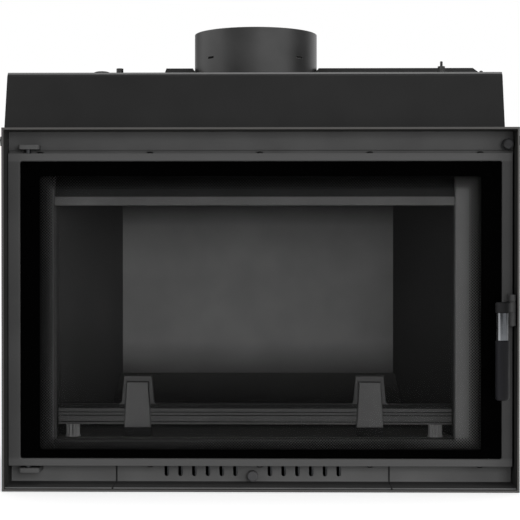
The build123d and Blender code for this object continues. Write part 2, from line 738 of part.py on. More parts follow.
with BuildPart() as top_plug:
    post(*TOP_PLUG, HOOD_TOP, HOOD_TOP + PLUG_H, PLUG_R)
    chamfer(top_plug.faces().sort_by(Axis.Z)[-1].edges(), length=PLUG_BEVEL)
save(top_plug, "top_plug")

with BuildPart() as top_rivet:
    post(*TOP_RIVET, HOOD_TOP, HOOD_TOP + RIVET_H, RIVET_R)
    chamfer(top_rivet.faces().sort_by(Axis.Z)[-1].edges(), length=RIVET_R / 2)
save(top_rivet, "top_rivet")

# ------------------------------------------------------------------ lining
with BuildPart() as floor_plate:
    with BuildSketch(Plane.XY.offset(FLOOR_Z)):
        area((IN_LEFT, IN_RIGHT, back(FRAME_DEPTH), back(IN_BACK)))
        with Locations((BODY_CENTRE, back(IN_BACK - AIRWAY_L / 2 - AIRWAY_W))):
            with GridLocations(BODY_W - 3 * AIRWAY_W, 0, 2, 1):
                SlotOverall(AIRWAY_L, AIRWAY_W, rotation=90, mode=Mode.SUBTRACT)
    extrude(amount=FLOOR_SHEET)
save(floor_plate, "floor_plate")

with BuildPart() as hearth_slab:
    with BuildSketch(Plane.XY.offset(FLOOR_TOP)):
        depths = (FRAME_DEPTH, REVEAL_END, BACK_LINER)
        left = [(BODY_CENTRE - inner_half(d), d) for d in depths]
        right = [(BODY_CENTRE + inner_half(d), d) for d in reversed(depths)]
        plan(left + right)
    extrude(amount=HEARTH_T)
save(hearth_slab, "hearth_slab")

# Hollow-faced fillet brick that turns the embers forward at the foot of the back lining
with BuildPart() as hearth_ramp:
    ramp_front = BACK_LINER - RAMP_DEPTH
    with BuildSketch(Plane.YZ.offset(MOUTH[0])):
        with BuildLine():
            toe = (back(ramp_front), HEARTH_TOP)
            heel = (back(BACK_LINER), HEARTH_TOP)
            head = (back(BACK_LINER), HEARTH_TOP + RAMP_H)
            brow = (back(BACK_LINER - RAMP_SHELF), HEARTH_TOP + RAMP_H)
            Polyline(toe, heel, head, brow)
            RadiusArc(brow, toe, RAMP_HOLLOW_R)
        make_face()
    extrude(amount=2 * MOUTH_HALF)
    with BuildSketch(Plane.XY.offset(HEARTH_TOP)):
        front_x = inner_half(ramp_front)
        rear_x = inner_half(BACK_LINER)
        plan([
            (BODY_CENTRE - front_x, ramp_front), (BODY_CENTRE + front_x, ramp_front),
            (BODY_CENTRE + rear_x, BACK_LINER), (BODY_CENTRE - rear_x, BACK_LINER),
        ])
    extrude(amount=RAMP_H, mode=Mode.INTERSECT)
save(hearth_ramp, "hearth_ramp")


def side_liner(side):
    """Upright lining plate: straight along the reveal, then splayed in towards the back."""
    thick = side * SIDE_LINER_T / cos(atan(SPLAY))
    depths = (FRAME_DEPTH, REVEAL_END, BACK_LINER)
    inner = [(BODY_CENTRE + side * inner_half(d), d) for d in depths]
    outer = [(x + thick, d) for x, d in reversed(inner)]
    with BuildSketch(Plane.XY.offset(FLOOR_TOP)) as profile:
        plan(inner + outer)
    extrude(profile.sketch, amount=MOUTH_TOP)
    split(bisect_by=BAFFLE_PLANE, keep=Keep.BOTTOM)


with BuildPart() as liner_left:
    side_liner(-1)
save(liner_left, "liner_left")

with BuildPart() as liner_right:
    side_liner(1)
save(liner_right, "liner_right")

with BuildPart() as liner_back:
    half = LINER_BACK_HALF + SIDE_LINER_T
    with BuildSketch(facing(BACK_LINER)):
        area((BODY_CENTRE - half, BODY_CENTRE + half, FLOOR_TOP, MOUTH_TOP))
    extrude(amount=-BACK_LINER_T)
    split(bisect_by=BAFFLE_PLANE, keep=Keep.BOTTOM)
save(liner_back, "liner_back")

# The baffle lies on the sloping tops of the three lining plates
with BuildPart() as baffle:
    front_half = inner_half(BAFFLE_FRONT) + BAFFLE_BEARING
    rear_half = LINER_BACK_HALF + BAFFLE_BEARING
    run = (BACK_LINER - BAFFLE_FRONT) / cos(atan(BAFFLE_SLOPE))
    rear = BACK_LINER_T / 2
    with BuildSketch(BAFFLE_PLANE):
        Polygon((-front_half, -run), (front_half, -run), (rear_half, rear), (-rear_half, rear), align=None)
    extrude(amount=BAFFLE_T)
save(baffle, "baffle")

# ------------------------------------------------------------------ log guard
GUARD_CENTRE = BODY_CENTRE + GUARD_SHIFT
RAIL_LOW = HEARTH_TOP + RAIL_LIFT
RAIL_HIGH = RAIL_LOW + RAIL_H
RAIL_FLATS = ((0.0, 2.9), (4.1, 12.0), (13.2, 16.7), (17.9, 22.5))
RAIL_GROOVE = 1.6

with BuildPart() as log_guard:
    half = MOUTH_HALF - GUARD_WALL_GAP
    with BuildSketch(Plane.YZ.offset(BODY_CENTRE - half)):
        moulding = [(GUARD_FRONT + GUARD_T, RAIL_LOW)]
        for low, high in RAIL_FLATS:
            moulding += [
                (GUARD_FRONT + RAIL_GROOVE, RAIL_LOW + low),
                (GUARD_FRONT, RAIL_LOW + low),
                (GUARD_FRONT, RAIL_LOW + high),
                (GUARD_FRONT + RAIL_GROOVE, RAIL_LOW + high),
            ]
        moulding += [
            (GUARD_FRONT + 2 * RAIL_GROOVE, RAIL_HIGH),
            (GUARD_FRONT + GUARD_T, RAIL_HIGH),
        ]
        section(moulding)
    extrude(amount=2 * half)
    for side in (-1, 1):
        stand = Plane(
            origin=(GUARD_CENTRE + side * POST_PITCH / 2, back(GUARD_FRONT + (GUARD_T - POST_T) / 2), HEARTH_TOP),
            x_dir=(1, 0, 0),
            z_dir=(0, -1, 0),
        )
        neck = POST_FOOT_W / 2
        sill = RAIL_LIFT + RAIL_H
        foot_half = POST_TOP_W / 2
        with BuildSketch(stand):
            with BuildLine():
                Line((0, GUARD_H), (POST_TOP_W / 2, GUARD_H))
                Line((POST_TOP_W / 2, GUARD_H), (neck, sill + POST_FLARE))
                CenterArc((neck + POST_FLARE, sill + POST_FLARE), POST_FLARE, 180, 90)
                Line((neck + POST_FLARE, sill), (neck + POST_FLARE, sill - POST_FLARE))
                Line((neck + POST_FLARE, sill - POST_FLARE), (foot_half, RAIL_LIFT))
                Line((foot_half, RAIL_LIFT), (foot_half, 0))
                Line((foot_half, 0), (0, 0))
                mirror(about=Plane.YZ)
            make_face()
        extrude(amount=-POST_T)
        with BuildSketch(stand):
            Polygon(
                (-PAD_TOP_W / 2, GUARD_H - PAD_BELOW_TOP), (PAD_TOP_W / 2, GUARD_H - PAD_BELOW_TOP),
                (PAD_FOOT_W / 2, RAIL_LIFT - PAD_BELOW_RAIL), (-PAD_FOOT_W / 2, RAIL_LIFT - PAD_BELOW_RAIL),
                align=None)
        extrude(amount=PAD_PROUD, taper=12)
save(log_guard, "log_guard")

# Fluted feet under the ends of the rail
with BuildPart() as guard_feet:
    for side in (-1, 1):
        foot_x = GUARD_CENTRE + side * (MOUTH_HALF - FOOT_INSET)
        foot_y = back(GUARD_FRONT + GUARD_T / 2)
        with BuildSketch(Plane.XY.offset(HEARTH_TOP)):
            with Locations((foot_x, foot_y)):
                Circle(FOOT_R)
                with PolarLocations(FOOT_R, FOOT_RIBS):
                    RegularPolygon(FOOT_RIB_R, 6)
        extrude(amount=RAIL_LIFT)
        with BuildSketch(Plane.XY.offset(HEARTH_TOP)):
            with Locations((foot_x, foot_y)):
                RegularPolygon(FOOT_BASE_R, 2 * FOOT_RIBS)
        extrude(amount=FOOT_BASE_H, taper=FOOT_BASE_TAPER)
save(guard_feet, "guard_feet")


# ------------------------------------------------------------------ hinges
def hinge_tab(plate_depth, height):
    """Flat lug that stands out from a face plate, rounded at its free end and bored for the pin."""
    middle = HINGE_X + TAB_SHIFT
    tip = back(HINGE_DEPTH - PIN_R - TAB_REACH)
    with BuildSketch(Plane.XY.offset(height)) as outline:
        area((middle - TAB_W / 2, middle + TAB_W / 2, tip, back(plate_depth)))
        fillet(outline.vertices().group_by(Axis.Y)[0], radius=4.0)
        disc(HINGE_X, back(HINGE_DEPTH), PIN_R + FIT, mode=Mode.SUBTRACT)
    extrude(outline.sketch, amount=TAB_T)


with BuildPart() as hinge_tab_upper:
    hinge_tab(FACE_DEPTH, UPPER_TAB_Z)
save(hinge_tab_upper, "hinge_tab_upper")

with BuildPart() as hinge_tab_lower:
    hinge_tab(FASCIA_DEPTH, LOWER_TAB_Z)
save(hinge_tab_lower, "hinge_tab_lower")

with BuildPart() as hinge_pins:
    post(HINGE_X, HINGE_DEPTH, DOOR_TOP - PIN_DEEP, UPPER_TAB_Z + TAB_T, PIN_R)
    post(HINGE_X, HINGE_DEPTH, DOOR_TOP + SEAT, UPPER_TAB_Z, PIN_COLLAR_R)
    post(HINGE_X, HINGE_DEPTH, LOWER_TAB_Z, DOOR_BOTTOM + PIN_DEEP, PIN_R)
    post(HINGE_X, HINGE_DEPTH, LOWER_TAB_Z + TAB_T, DOOR_BOTTOM - SEAT, PIN_COLLAR_R)
save(hinge_pins, "hinge_pins")

# ------------------------------------------------------------------ door
with BuildPart() as door_frame:
    with BuildSketch(facing(DOOR_FACE)):
        area((DOOR_LEFT, DOOR_RIGHT, DOOR_BOTTOM, DOOR_TOP))
    extrude(amount=-DOOR_RIM)
    with BuildSketch(facing(DOOR_FACE + DOOR_LIP_T)):
        area(REBATE)
    extrude(amount=DOOR_LIP_T - DOOR_RIM, mode=Mode.SUBTRACT)
    with BuildSketch(facing(DOOR_FACE)) as window:
        area(WINDOW)
        fillet(window.vertices(), radius=3.0)
    extrude(amount=-DOOR_LIP_T, mode=Mode.SUBTRACT)
    front_face = door_frame.faces().sort_by(Axis.Y)[0]
    chamfer(front_face.inner_wires()[0].edges(), length=1.2)
    for base, into in ((DOOR_TOP, -1), (DOOR_BOTTOM, 1)):
        with BuildSketch(Plane.XY.offset(base)):
            disc(HINGE_X, back(HINGE_DEPTH), PIN_R + FIT)
        extrude(amount=into * (PIN_DEEP + BORE_END), mode=Mode.SUBTRACT)
    # Notch that lets the stile pass the latch peg
    with BuildSketch(facing(DOOR_FACE)):
        area((KEEPER_TIP - CLAW_CLEAR, FRAME_IN_X, KEEPER_Z - 2 * KEEPER_R, KEEPER_Z + 2 * KEEPER_R))
    extrude(amount=-DOOR_RIM, mode=Mode.SUBTRACT)
save(door_frame, "door_frame")

with BuildPart() as door_edge_screws:
    for base, out in ((DOOR_TOP, 1), (DOOR_BOTTOM, -1)):
        with BuildSketch(Plane.XY.offset(base)):
            with Locations((DOOR_CENTRE, back(DOOR_SCREW_DEPTH))):
                with GridLocations(DOOR_SCREW_PITCH, 0, DOOR_SCREWS, 1):
                    RegularPolygon(DOOR_HEAD_R, ROUND_SIDES)
        extrude(amount=out * DOOR_HEAD_H)
    rims = door_edge_screws.edges().group_by(Axis.Z)
    chamfer(rims[0] + rims[-1], length=0.5 * DOOR_HEAD_H)
save(door_edge_screws, "door_edge_screws")

with BuildPart() as door_glass:
    with BuildSketch(facing(GLASS_FACE)):
        area(REBATE, grow=-GLASS_PLAY)
    extrude(amount=-GLASS_T)
save(door_glass, "door_glass")

# Thin seal tape in front of the glass and behind it
with BuildPart() as glass_tapes:
    for depth in (DOOR_FACE + DOOR_LIP_T, GLASS_FACE + GLASS_T):
        with BuildSketch(facing(depth)):
            area(REBATE, grow=-GLASS_PLAY)
            area(WINDOW, grow=0.8, mode=Mode.SUBTRACT)
        extrude(amount=-TAPE_T)
save(glass_tapes, "glass_tapes")

# Retainer: a plate behind the glass whose two raised lips hold the rope seal
with BuildPart() as glass_retainer:
    lip_near = ROPE_D / 2 + ROPE_GAP
    lip_far = lip_near + ROPE_LIP_T
    with BuildSketch(facing(RETAINER_FACE)):
        area(REBATE, grow=-GLASS_PLAY)
        area(ROPE, grow=-lip_far, mode=Mode.SUBTRACT)
    extrude(amount=-RETAINER_T)
    with BuildSketch(facing(RETAINER_BACK)):
        area(ROPE, grow=lip_far)
        area(ROPE, grow=lip_near, mode=Mode.SUBTRACT)
        area(ROPE, grow=-lip_near)
        area(ROPE, grow=-lip_far, mode=Mode.SUBTRACT)
    extrude(amount=-ROPE_LIP_H)
save(glass_retainer, "glass_retainer")

with BuildPart() as door_rope_seal:
    with BuildLine(facing(RETAINER_BACK + ROPE_GAP + ROPE_D / 2)) as rope_line:
        Polyline(
            (0, ROPE[2]), (ROPE[1], ROPE[2]), (ROPE[1], ROPE[3]), (ROPE[0], ROPE[3]), (ROPE[0], ROPE[2]),
            close=True)
    rope_wire = rope_line.wires()[0]
    with BuildSketch(Plane(origin=rope_wire @ 0, z_dir=rope_wire % 0)):
        Circle(ROPE_D / 2)
    sweep(path=rope_wire, transition=Transition.RIGHT)
save(door_rope_seal, "door_rope_seal")


# ------------------------------------------------------------------ handle
def knuckle_lug(low, high):
    """Barrel knuckle on a short web that stands out from the door's stile."""
    with BuildSketch(Plane.XY.offset(low)) as outline:
        disc(BARREL_X, back(BARREL_DEPTH), BARREL_R)
        area((BARREL_X - BARREL_R, DOOR_RIGHT - SEAT, back(BARREL_DEPTH), back(DOOR_FACE)))
        disc(BARREL_X, back(BARREL_DEPTH), HANDLE_PIN_R + FIT, mode=Mode.SUBTRACT)
    extrude(outline.sketch, amount=high - low)


with BuildPart() as handle_lugs:
    knuckle_lug(BARREL_BOTTOM, LEVER_BOTTOM - KNUCKLE_GAP)
    knuckle_lug(LEVER_TOP + KNUCKLE_GAP, BARREL_TOP)
save(handle_lugs, "handle_lugs")

with BuildPart() as handle_pin:
    post(BARREL_X, BARREL_DEPTH, BARREL_BOTTOM - 1.0, BARREL_TOP + 1.0, HANDLE_PIN_R)
save(handle_pin, "handle_pin")

# Lever: a knuckle on the pin, a waisted arm and the socket of the grip, with a claw that
# hooks behind the peg while the handle is closed
with BuildPart() as handle_lever:
    knuckle = Vector(BARREL_X, back(BARREL_DEPTH))
    socket = Vector(GRIP_X, back(-GRIP_REACH))
    waist = knuckle + (socket - knuckle).normalized() * LEVER_WAIST
    with BuildSketch(Plane.XY.offset(LEVER_BOTTOM)):
        with BuildSketch(mode=Mode.PRIVATE) as arm:
            disc(waist.X, waist.Y, BARREL_R)
            disc(socket.X, socket.Y, GRIP_R)
            make_hull()
        with BuildSketch(mode=Mode.PRIVATE) as root:
            disc(knuckle.X, knuckle.Y, BARREL_R)
            disc(waist.X, waist.Y, BARREL_R)
            make_hull()
        add(arm.sketch)
        add(root.sketch)
    extrude(amount=LEVER_TOP - LEVER_BOTTOM)
    chamfer(handle_lever.faces().sort_by(Axis.Z)[-1].edges(), length=1.2)
    with BuildSketch(Plane.XY.offset(KEEPER_Z - CLAW_H / 2)):
        web_right = KEEPER_TIP - CLAW_CLEAR
        finger = KEEPER_DEPTH + KEEPER_R + SEAT
        area((web_right - CLAW_WEB, web_right, back(BARREL_DEPTH), back(finger + CLAW_T)))
        area((web_right - CLAW_WEB, FRAME_IN_X - CLAW_CLEAR, back(finger), back(finger + CLAW_T)))
    extrude(amount=CLAW_H)
    with BuildSketch(Plane.XY.offset(LEVER_BOTTOM)):
        disc(BARREL_X, back(BARREL_DEPTH), HANDLE_PIN_R + FIT)
    extrude(amount=LEVER_TOP - LEVER_BOTTOM, mode=Mode.SUBTRACT)
    with BuildSketch(Plane.XY.offset(LEVER_BOTTOM)):
        disc(GRIP_X, back(-GRIP_REACH), TIE_R + FIT)
    extrude(amount=TIE_DEEP, mode=Mode.SUBTRACT)
save(handle_lever, "handle_lever")

GRIP_TOP = LEVER_BOTTOM - FERRULE_L

with BuildPart() as handle_ferrule:
    post(GRIP_X, -GRIP_REACH, GRIP_TOP, LEVER_BOTTOM, FERRULE_R)
    with BuildSketch(Plane.XY.offset(GRIP_TOP)):
        disc(GRIP_X, back(-GRIP_REACH), TIE_R + FIT)
    extrude(amount=FERRULE_L, mode=Mode.SUBTRACT)
save(handle_ferrule, "handle_ferrule")

with BuildPart() as handle_grip:
    post(GRIP_X, -GRIP_REACH, GRIP_BOTTOM, GRIP_TOP, GRIP_R)
    chamfer(handle_grip.faces().sort_by(Axis.Z)[0].edges(), length=3.0)
    with BuildSketch(Plane.XY.offset(GRIP_TOP)):
        disc(GRIP_X, back(-GRIP_REACH), TIE_R + FIT)
    extrude(amount=GRIP_BOTTOM + TIE_FOOT - GRIP_TOP, mode=Mode.SUBTRACT)
save(handle_grip, "handle_grip")

with BuildPart() as handle_tie_rod:
    post(GRIP_X, -GRIP_REACH, GRIP_BOTTOM + TIE_FOOT + SEAT, LEVER_BOTTOM + TIE_DEEP - SEAT, TIE_R)
save(handle_tie_rod, "handle_tie_rod")

# ------------------------------------------------------------------ damper
# At rest the disc stands upright in the flue, screwed to a flat on the spindle.
with BuildPart() as damper_spindle:
    spindle_left = BODY_CENTRE - COLLAR_R - SPINDLE_END
    with BuildSketch(Plane.YZ.offset(spindle_left)):
        disc(back(COLLAR_DEPTH), SPINDLE_Z, SHAFT_R)
    extrude(amount=CRANK_X + CRANK_T - spindle_left)
    with BuildSketch(facing(COLLAR_DEPTH)):
        area((BODY_CENTRE - DISC_R, BODY_CENTRE + DISC_R, SPINDLE_Z - SHAFT_R, SPINDLE_Z + SHAFT_R), grow=1.0)
    extrude(amount=-SHAFT_R, mode=Mode.SUBTRACT)
    with BuildSketch(facing(COLLAR_DEPTH)):
        with Locations((BODY_CENTRE, SPINDLE_Z)):
            with GridLocations(DISC_SCREW_PITCH, 0, 2, 1):
                Circle(DISC_SCREW_R + FIT)
    extrude(amount=SHAFT_R, mode=Mode.SUBTRACT)
save(damper_spindle, "damper_spindle")

with BuildPart() as damper_disc:
    with BuildSketch(facing(COLLAR_DEPTH)):
        with Locations((BODY_CENTRE, SPINDLE_Z)):
            Circle(DISC_R)
            with GridLocations(DISC_SCREW_PITCH, 0, 2, 1):
                Circle(DISC_SCREW_R + FIT, mode=Mode.SUBTRACT)
    extrude(amount=-DISC_T)
save(damper_disc, "damper_disc")

with BuildPart() as damper_screws:
    with BuildSketch(facing(COLLAR_DEPTH + DISC_T)):
        with Locations((BODY_CENTRE, SPINDLE_Z)):
            with GridLocations(DISC_SCREW_PITCH, 0, 2, 1):
                Circle(DISC_SCREW_R)
    extrude(amount=DISC_T + SHAFT_R)
    with BuildSketch(facing(COLLAR_DEPTH + DISC_T)):
        with Locations((BODY_CENTRE, SPINDLE_Z)):
            with GridLocations(DISC_SCREW_PITCH, 0, 2, 1):
                RegularPolygon(DISC_HEAD_R, 6)
    extrude(amount=-DISC_HEAD_H)
save(damper_screws, "damper_screws")

with BuildPart() as damper_crank:
    pin_y = back(COLLAR_DEPTH) + CRANK_SIDE
    pin_z = SPINDLE_Z - CRANK_SIDE
    with BuildSketch(Plane.YZ.offset(CRANK_X)):
        disc(back(COLLAR_DEPTH), SPINDLE_Z, 2.5 * SHAFT_R)
        disc(pin_y, pin_z, 2 * CRANK_PIN_R)
        make_hull()
        disc(back(COLLAR_DEPTH), SPINDLE_Z, SHAFT_R + FIT, mode=Mode.SUBTRACT)
    extrude(amount=CRANK_T)
    with BuildSketch(Plane.YZ.offset(CRANK_X)):
        disc(pin_y, pin_z, CRANK_PIN_R)
    extrude(amount=YOKE_X + YOKE_T + 2.0 - CRANK_X)
save(damper_crank, "damper_crank")

# Pull rod: a round bar along the casing's right side with an upright yoke plate. The
# crank pin rides in the yoke's slot.
with BuildPart() as damper_rod:
    rod_front = KNOB_BACK - ROD_IN_KNOB
    with BuildSketch(facing(rod_front)):
        disc(ROD_X, ROD_Z, SHAFT_R)
    extrude(amount=rod_front - ROD_TAIL)
    yoke_y = back(COLLAR_DEPTH) + CRANK_SIDE + YOKE_LEAD
    pin_lowest = SPINDLE_Z - CRANK_R
    pin_rest = SPINDLE_Z - CRANK_SIDE
    yoke_top = pin_rest + CRANK_PIN_R + YOKE_MARGIN
    with BuildSketch(Plane.YZ.offset(YOKE_X)):
        area((yoke_y - YOKE_W / 2, yoke_y + YOKE_W / 2, ROD_Z, yoke_top))
        with Locations((yoke_y, (pin_lowest + pin_rest) / 2)):
            SlotCenterToCenter(pin_rest - pin_lowest + 1.0, 2 * (CRANK_PIN_R + YOKE_PLAY), rotation=90,
                               mode=Mode.SUBTRACT)
    extrude(amount=YOKE_T)
save(damper_rod, "damper_rod")

with BuildPart() as damper_knob:
    with BuildSketch(facing(DAMPER_KNOB_FRONT)):
        disc(ROD_X, ROD_Z, DAMPER_KNOB_R)
    extrude(amount=-DAMPER_KNOB_L)
    chamfer(damper_knob.faces().sort_by(Axis.Y)[0].edges(), length=2.0)
    with BuildSketch(facing(KNOB_BACK)):
        disc(ROD_X, ROD_Z, SHAFT_R + FIT)
    extrude(amount=ROD_IN_KNOB + SEAT, mode=Mode.SUBTRACT)
save(damper_knob, "damper_knob")

# Two equal flanged bushes, one in the upper face plate and one in the casing's side
with BuildPart() as linkage_bushes:
    for plane, x, y in (
        (facing(FACE_DEPTH), ROD_X, ROD_Z),
        (Plane.YZ.offset(BODY_RIGHT), back(COLLAR_DEPTH), SPINDLE_Z),
    ):
        for radius, length in ((BUSH_FLANGE_R, BUSH_FLANGE_T), (BUSH_R, -BUSH_L)):
            with BuildSketch(plane):
                disc(x, y, radius)
                disc(x, y, SHAFT_R + RUNNING, mode=Mode.SUBTRACT)
            extrude(amount=length)
save(linkage_bushes, "linkage_bushes")

with BuildPart() as rod_guides:
    for depth in GUIDE_DEPTHS:
        with BuildSketch(facing(depth)):
            area((BODY_RIGHT, ROD_X, ROD_Z - GUIDE_HALF, ROD_Z + GUIDE_HALF))
            disc(ROD_X, ROD_Z, GUIDE_HALF)
            area((BODY_RIGHT, ROD_X + GUIDE_HALF, ROD_Z - GUIDE_HALF, ROD_Z + GUIDE_HALF), mode=Mode.INTERSECT)
            disc(ROD_X, ROD_Z, SHAFT_R + RUNNING, mode=Mode.SUBTRACT)
        extrude(amount=-GUIDE_T)
save(rod_guides, "rod_guides")
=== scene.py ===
# %% [markdown]
# # A steel fireplace insert
# The object is a welded steel fire chamber that is built into a chimney breast: a deep surround
# of folded sheet, a glass door, a sloped hood and a round flue collar. Nearly all of it is black
# or dark grey, so what tells the pieces apart is how each surface takes the light: sprayed matt
# paint, sand-cast iron, fired clay, polished steel, moulded resin and printed glass.
# The shapes come from the CAD frame. This script dresses them and adds the small rounded pieces
# that are too fine for the CAD model.

# %% Load the frame and note its size
import bpy
import math
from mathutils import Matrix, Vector


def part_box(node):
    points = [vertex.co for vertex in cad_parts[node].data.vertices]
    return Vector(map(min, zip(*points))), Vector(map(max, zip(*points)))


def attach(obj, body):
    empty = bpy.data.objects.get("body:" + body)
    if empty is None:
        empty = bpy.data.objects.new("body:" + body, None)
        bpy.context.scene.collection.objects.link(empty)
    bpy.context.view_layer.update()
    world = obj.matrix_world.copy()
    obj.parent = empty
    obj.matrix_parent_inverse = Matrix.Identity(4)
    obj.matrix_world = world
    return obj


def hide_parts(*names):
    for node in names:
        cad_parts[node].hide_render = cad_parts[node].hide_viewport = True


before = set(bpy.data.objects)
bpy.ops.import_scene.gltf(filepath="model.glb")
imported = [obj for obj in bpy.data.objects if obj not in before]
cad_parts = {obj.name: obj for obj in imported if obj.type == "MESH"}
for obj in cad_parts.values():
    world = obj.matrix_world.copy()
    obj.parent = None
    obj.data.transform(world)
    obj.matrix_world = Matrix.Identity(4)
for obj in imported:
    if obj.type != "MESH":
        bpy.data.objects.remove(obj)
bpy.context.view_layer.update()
MM = 0.001

# %% [markdown]
# Every finish is a tree of shader nodes. Three small tools are enough for all of them. One turns a
# colour that is written the way designers write it, as sRGB hex, into the linear numbers that
# the renderer counts in. One adds a node with its settings, and one sets the inputs of a node.

# %% Three tools for finishes


def shade(hex_colour, share=1.0):
    """sRGB hex to a linear colour with full alpha, made darker or paler by a share."""
    parts = [int(hex_colour[i:i + 2], 16) / 255 for i in (1, 3, 5)]
    return [(p / 12.92 if p <= 0.04045 else ((p + 0.055) / 1.055) ** 2.4) * share for p in parts] + [1.0]


def feed(node, **inputs):
    """Set inputs, named in_Name or in_3. Each takes a value, a socket or the node it comes from."""
    for name, value in inputs.items():
        key = name[3:].replace("_", " ")
        socket = node.inputs[int(key) if key.isdigit() else key]
        if isinstance(value, bpy.types.Node):
            value = next(out for out in value.outputs if out.enabled)
        if isinstance(value, bpy.types.NodeSocket):
            node.id_data.links.new(value, socket)
        else:
            socket.default_value = value


def put(owner, kind, settings=None, **inputs):
    """Add a node to a material or a world, with its settings and its inputs."""
    made = owner.node_tree.nodes.new("ShaderNode" + kind)
    for name, value in (settings or {}).items():
        setattr(made, name, value)
    feed(made, **inputs)
    return made


# Settings and inputs that many nodes share. A noise mostly lies between 0.3 and 0.7, so that range
# is what gets mapped on to a finish's own two values. Three kinds of noise differ in their detail.
COLOUR = {"data_type": "RGBA"}
TIMES, PLUS = {"operation": "MULTIPLY"}, {"operation": "ADD"}
LARGER, SMALLER = {"operation": "MAXIMUM"}, {"operation": "MINIMUM"}
MIDDLE = {"in_1": 0.3, "in_2": 0.7}
SMOOTH, BROKEN, GRITTY = [{"in_Detail": detail, "in_Roughness": rough}
                          for detail, rough in ((2.0, 0.55), (3.0, 0.55), (4.0, 0.6))]
print("mid grey #808080 is linear", round(shade("#808080")[0], 3))

# %% [markdown]
# A finish starts with the same few nodes: the shader, the place of each point on the object in
# metres, and the surface's rounded normal. Folded sheet never has a razor edge. The Bevel node
# bends the normal within half a millimetre of an edge, so each fold catches a thin line of
# light, and where it differs from the flat normal is where hands and tools rub the paint.
# On the surround the same edge mask also carries a painted highlight.

# %% Start of a finish


def start_finish(name, edge_mm=0.6):
    """Empty material with its shader, object position, rounded normal and a mask of its edges."""
    finish = bpy.data.materials.new(name)
    finish.use_nodes = True
    finish.node_tree.nodes.clear()
    shader = put(finish, "BsdfPrincipled")
    put(finish, "OutputMaterial", in_Surface=shader)
    place = put(finish, "TexCoord").outputs["Object"]
    flat = put(finish, "NewGeometry").outputs["Normal"]
    soft = put(finish, "Bevel", {"samples": 4}, in_Radius=edge_mm * MM)
    same = put(finish, "VectorMath", {"operation": "DOT_PRODUCT"}, in_0=flat, in_1=soft)
    edge = put(finish, "MapRange", in_0=same, in_1=0.995, in_2=0.80, in_3=0.0, in_4=1.0)
    return finish, shader, place, soft, edge


print("a finish starts with its shader, place, rounded normal and edge mask")

# %% [markdown]
# Painted shade, painted light and dark seams lie in places: on a ledge, low in the fire chamber,
# along one edge. A mask says where, from the place of a point on the object or from the way that
# its face looks, and an overlay then lays one more colour over a finish there. All of it moves
# with the piece.

# %% Masks and overlays


def by_place(finish, axis, start_mm, end_mm, low=0.0, high=1.0):
    """A value that runs from low to high between two places along an axis of the object."""
    place = next(n for n in finish.node_tree.nodes if n.type == "TEX_COORD").outputs["Object"]
    along = put(finish, "SeparateXYZ", in_0=place).outputs[axis]
    return put(finish, "MapRange", in_0=along, in_1=start_mm * MM, in_2=end_mm * MM, in_3=low, in_4=high)


def facing_up(finish):
    """A mask of the faces that look up, which get painted shade."""
    rise = put(finish, "SeparateXYZ", in_0=put(finish, "NewGeometry").outputs["Normal"]).outputs["Z"]
    return put(finish, "MapRange", in_0=rise, in_1=0.55, in_2=0.85, in_3=0.0, in_4=1.0)


def overlay(finish, mask, hex_colour):
    """Lay one more colour over a finish wherever the mask is strong."""
    shader = next(n for n in finish.node_tree.nodes if n.type == "BSDF_PRINCIPLED")
    under = shader.inputs["Base Color"].links[0].from_socket
    feed(shader, in_Base_Color=put(finish, "Mix", COLOUR, in_0=mask, in_6=under, in_7=shade(hex_colour)))


print("masks by place and by the way a face looks")

# %% [markdown]
# The steel is sprayed with heat-proof silicone paint, the kind used on stoves. It dries dead
# matt with a fine dry grain, and its colour drifts a little over each sheet where the coat is
# thicker. The real grain is about 0.3 mm, too fine to show here, so it is drawn at 1.6 mm.
# Each sheet has its own tone in the picture, so one recipe is used with several greys.

# %% Heat-proof matt paint on sheet steel


def stove_paint(name, tone, worn_and_highlight_tone, rough=0.62, shine=0.12, edge_wear_and_highlight=0.55, edge_mm=0.6):
    finish, shader, place, soft, edge = start_finish(name, edge_mm)
    grain = put(finish, "TexNoise", **SMOOTH, in_Vector=place, in_Scale=1 / (1.6 * MM))
    drift = put(finish, "TexNoise", **SMOOTH, in_Vector=place, in_Scale=1 / (85.0 * MM))
    scuffs = put(finish, "TexNoise", in_Vector=place, in_Scale=1 / (9.0 * MM), in_Detail=4.0,
                 in_Roughness=0.65)
    pale = shade(tone, 1.18)
    coat = put(finish, "MapRange", **MIDDLE, in_0=drift, in_3=0.15, in_4=0.85)
    body = put(finish, "Mix", COLOUR, in_0=coat, in_6=shade(tone, 0.80), in_7=pale)
    dry = put(finish, "MapRange", **MIDDLE, in_0=grain, in_3=0.0, in_4=0.34)
    speck = put(finish, "Mix", COLOUR, in_0=dry, in_6=body, in_7=pale)
    patches = put(finish, "MapRange", **MIDDLE, in_0=scuffs, in_3=0.1, in_4=edge_wear_and_highlight)
    rub = put(finish, "Math", TIMES, in_0=edge, in_1=patches)
    colour = put(finish, "Mix", COLOUR, in_0=rub, in_6=speck, in_7=shade(worn_and_highlight_tone))
    matt = put(finish, "MapRange", **MIDDLE, in_0=grain, in_3=rough - 0.07, in_4=rough + 0.08)
    bump = put(finish, "Bump", in_Strength=0.10, in_Distance=0.3 * MM, in_Height=grain, in_Normal=soft)
    feed(shader, in_Base_Color=colour, in_Roughness=matt, in_Normal=bump)
    feed(shader, in_IOR=1.5, in_Specular_IOR_Level=shine)
    return finish


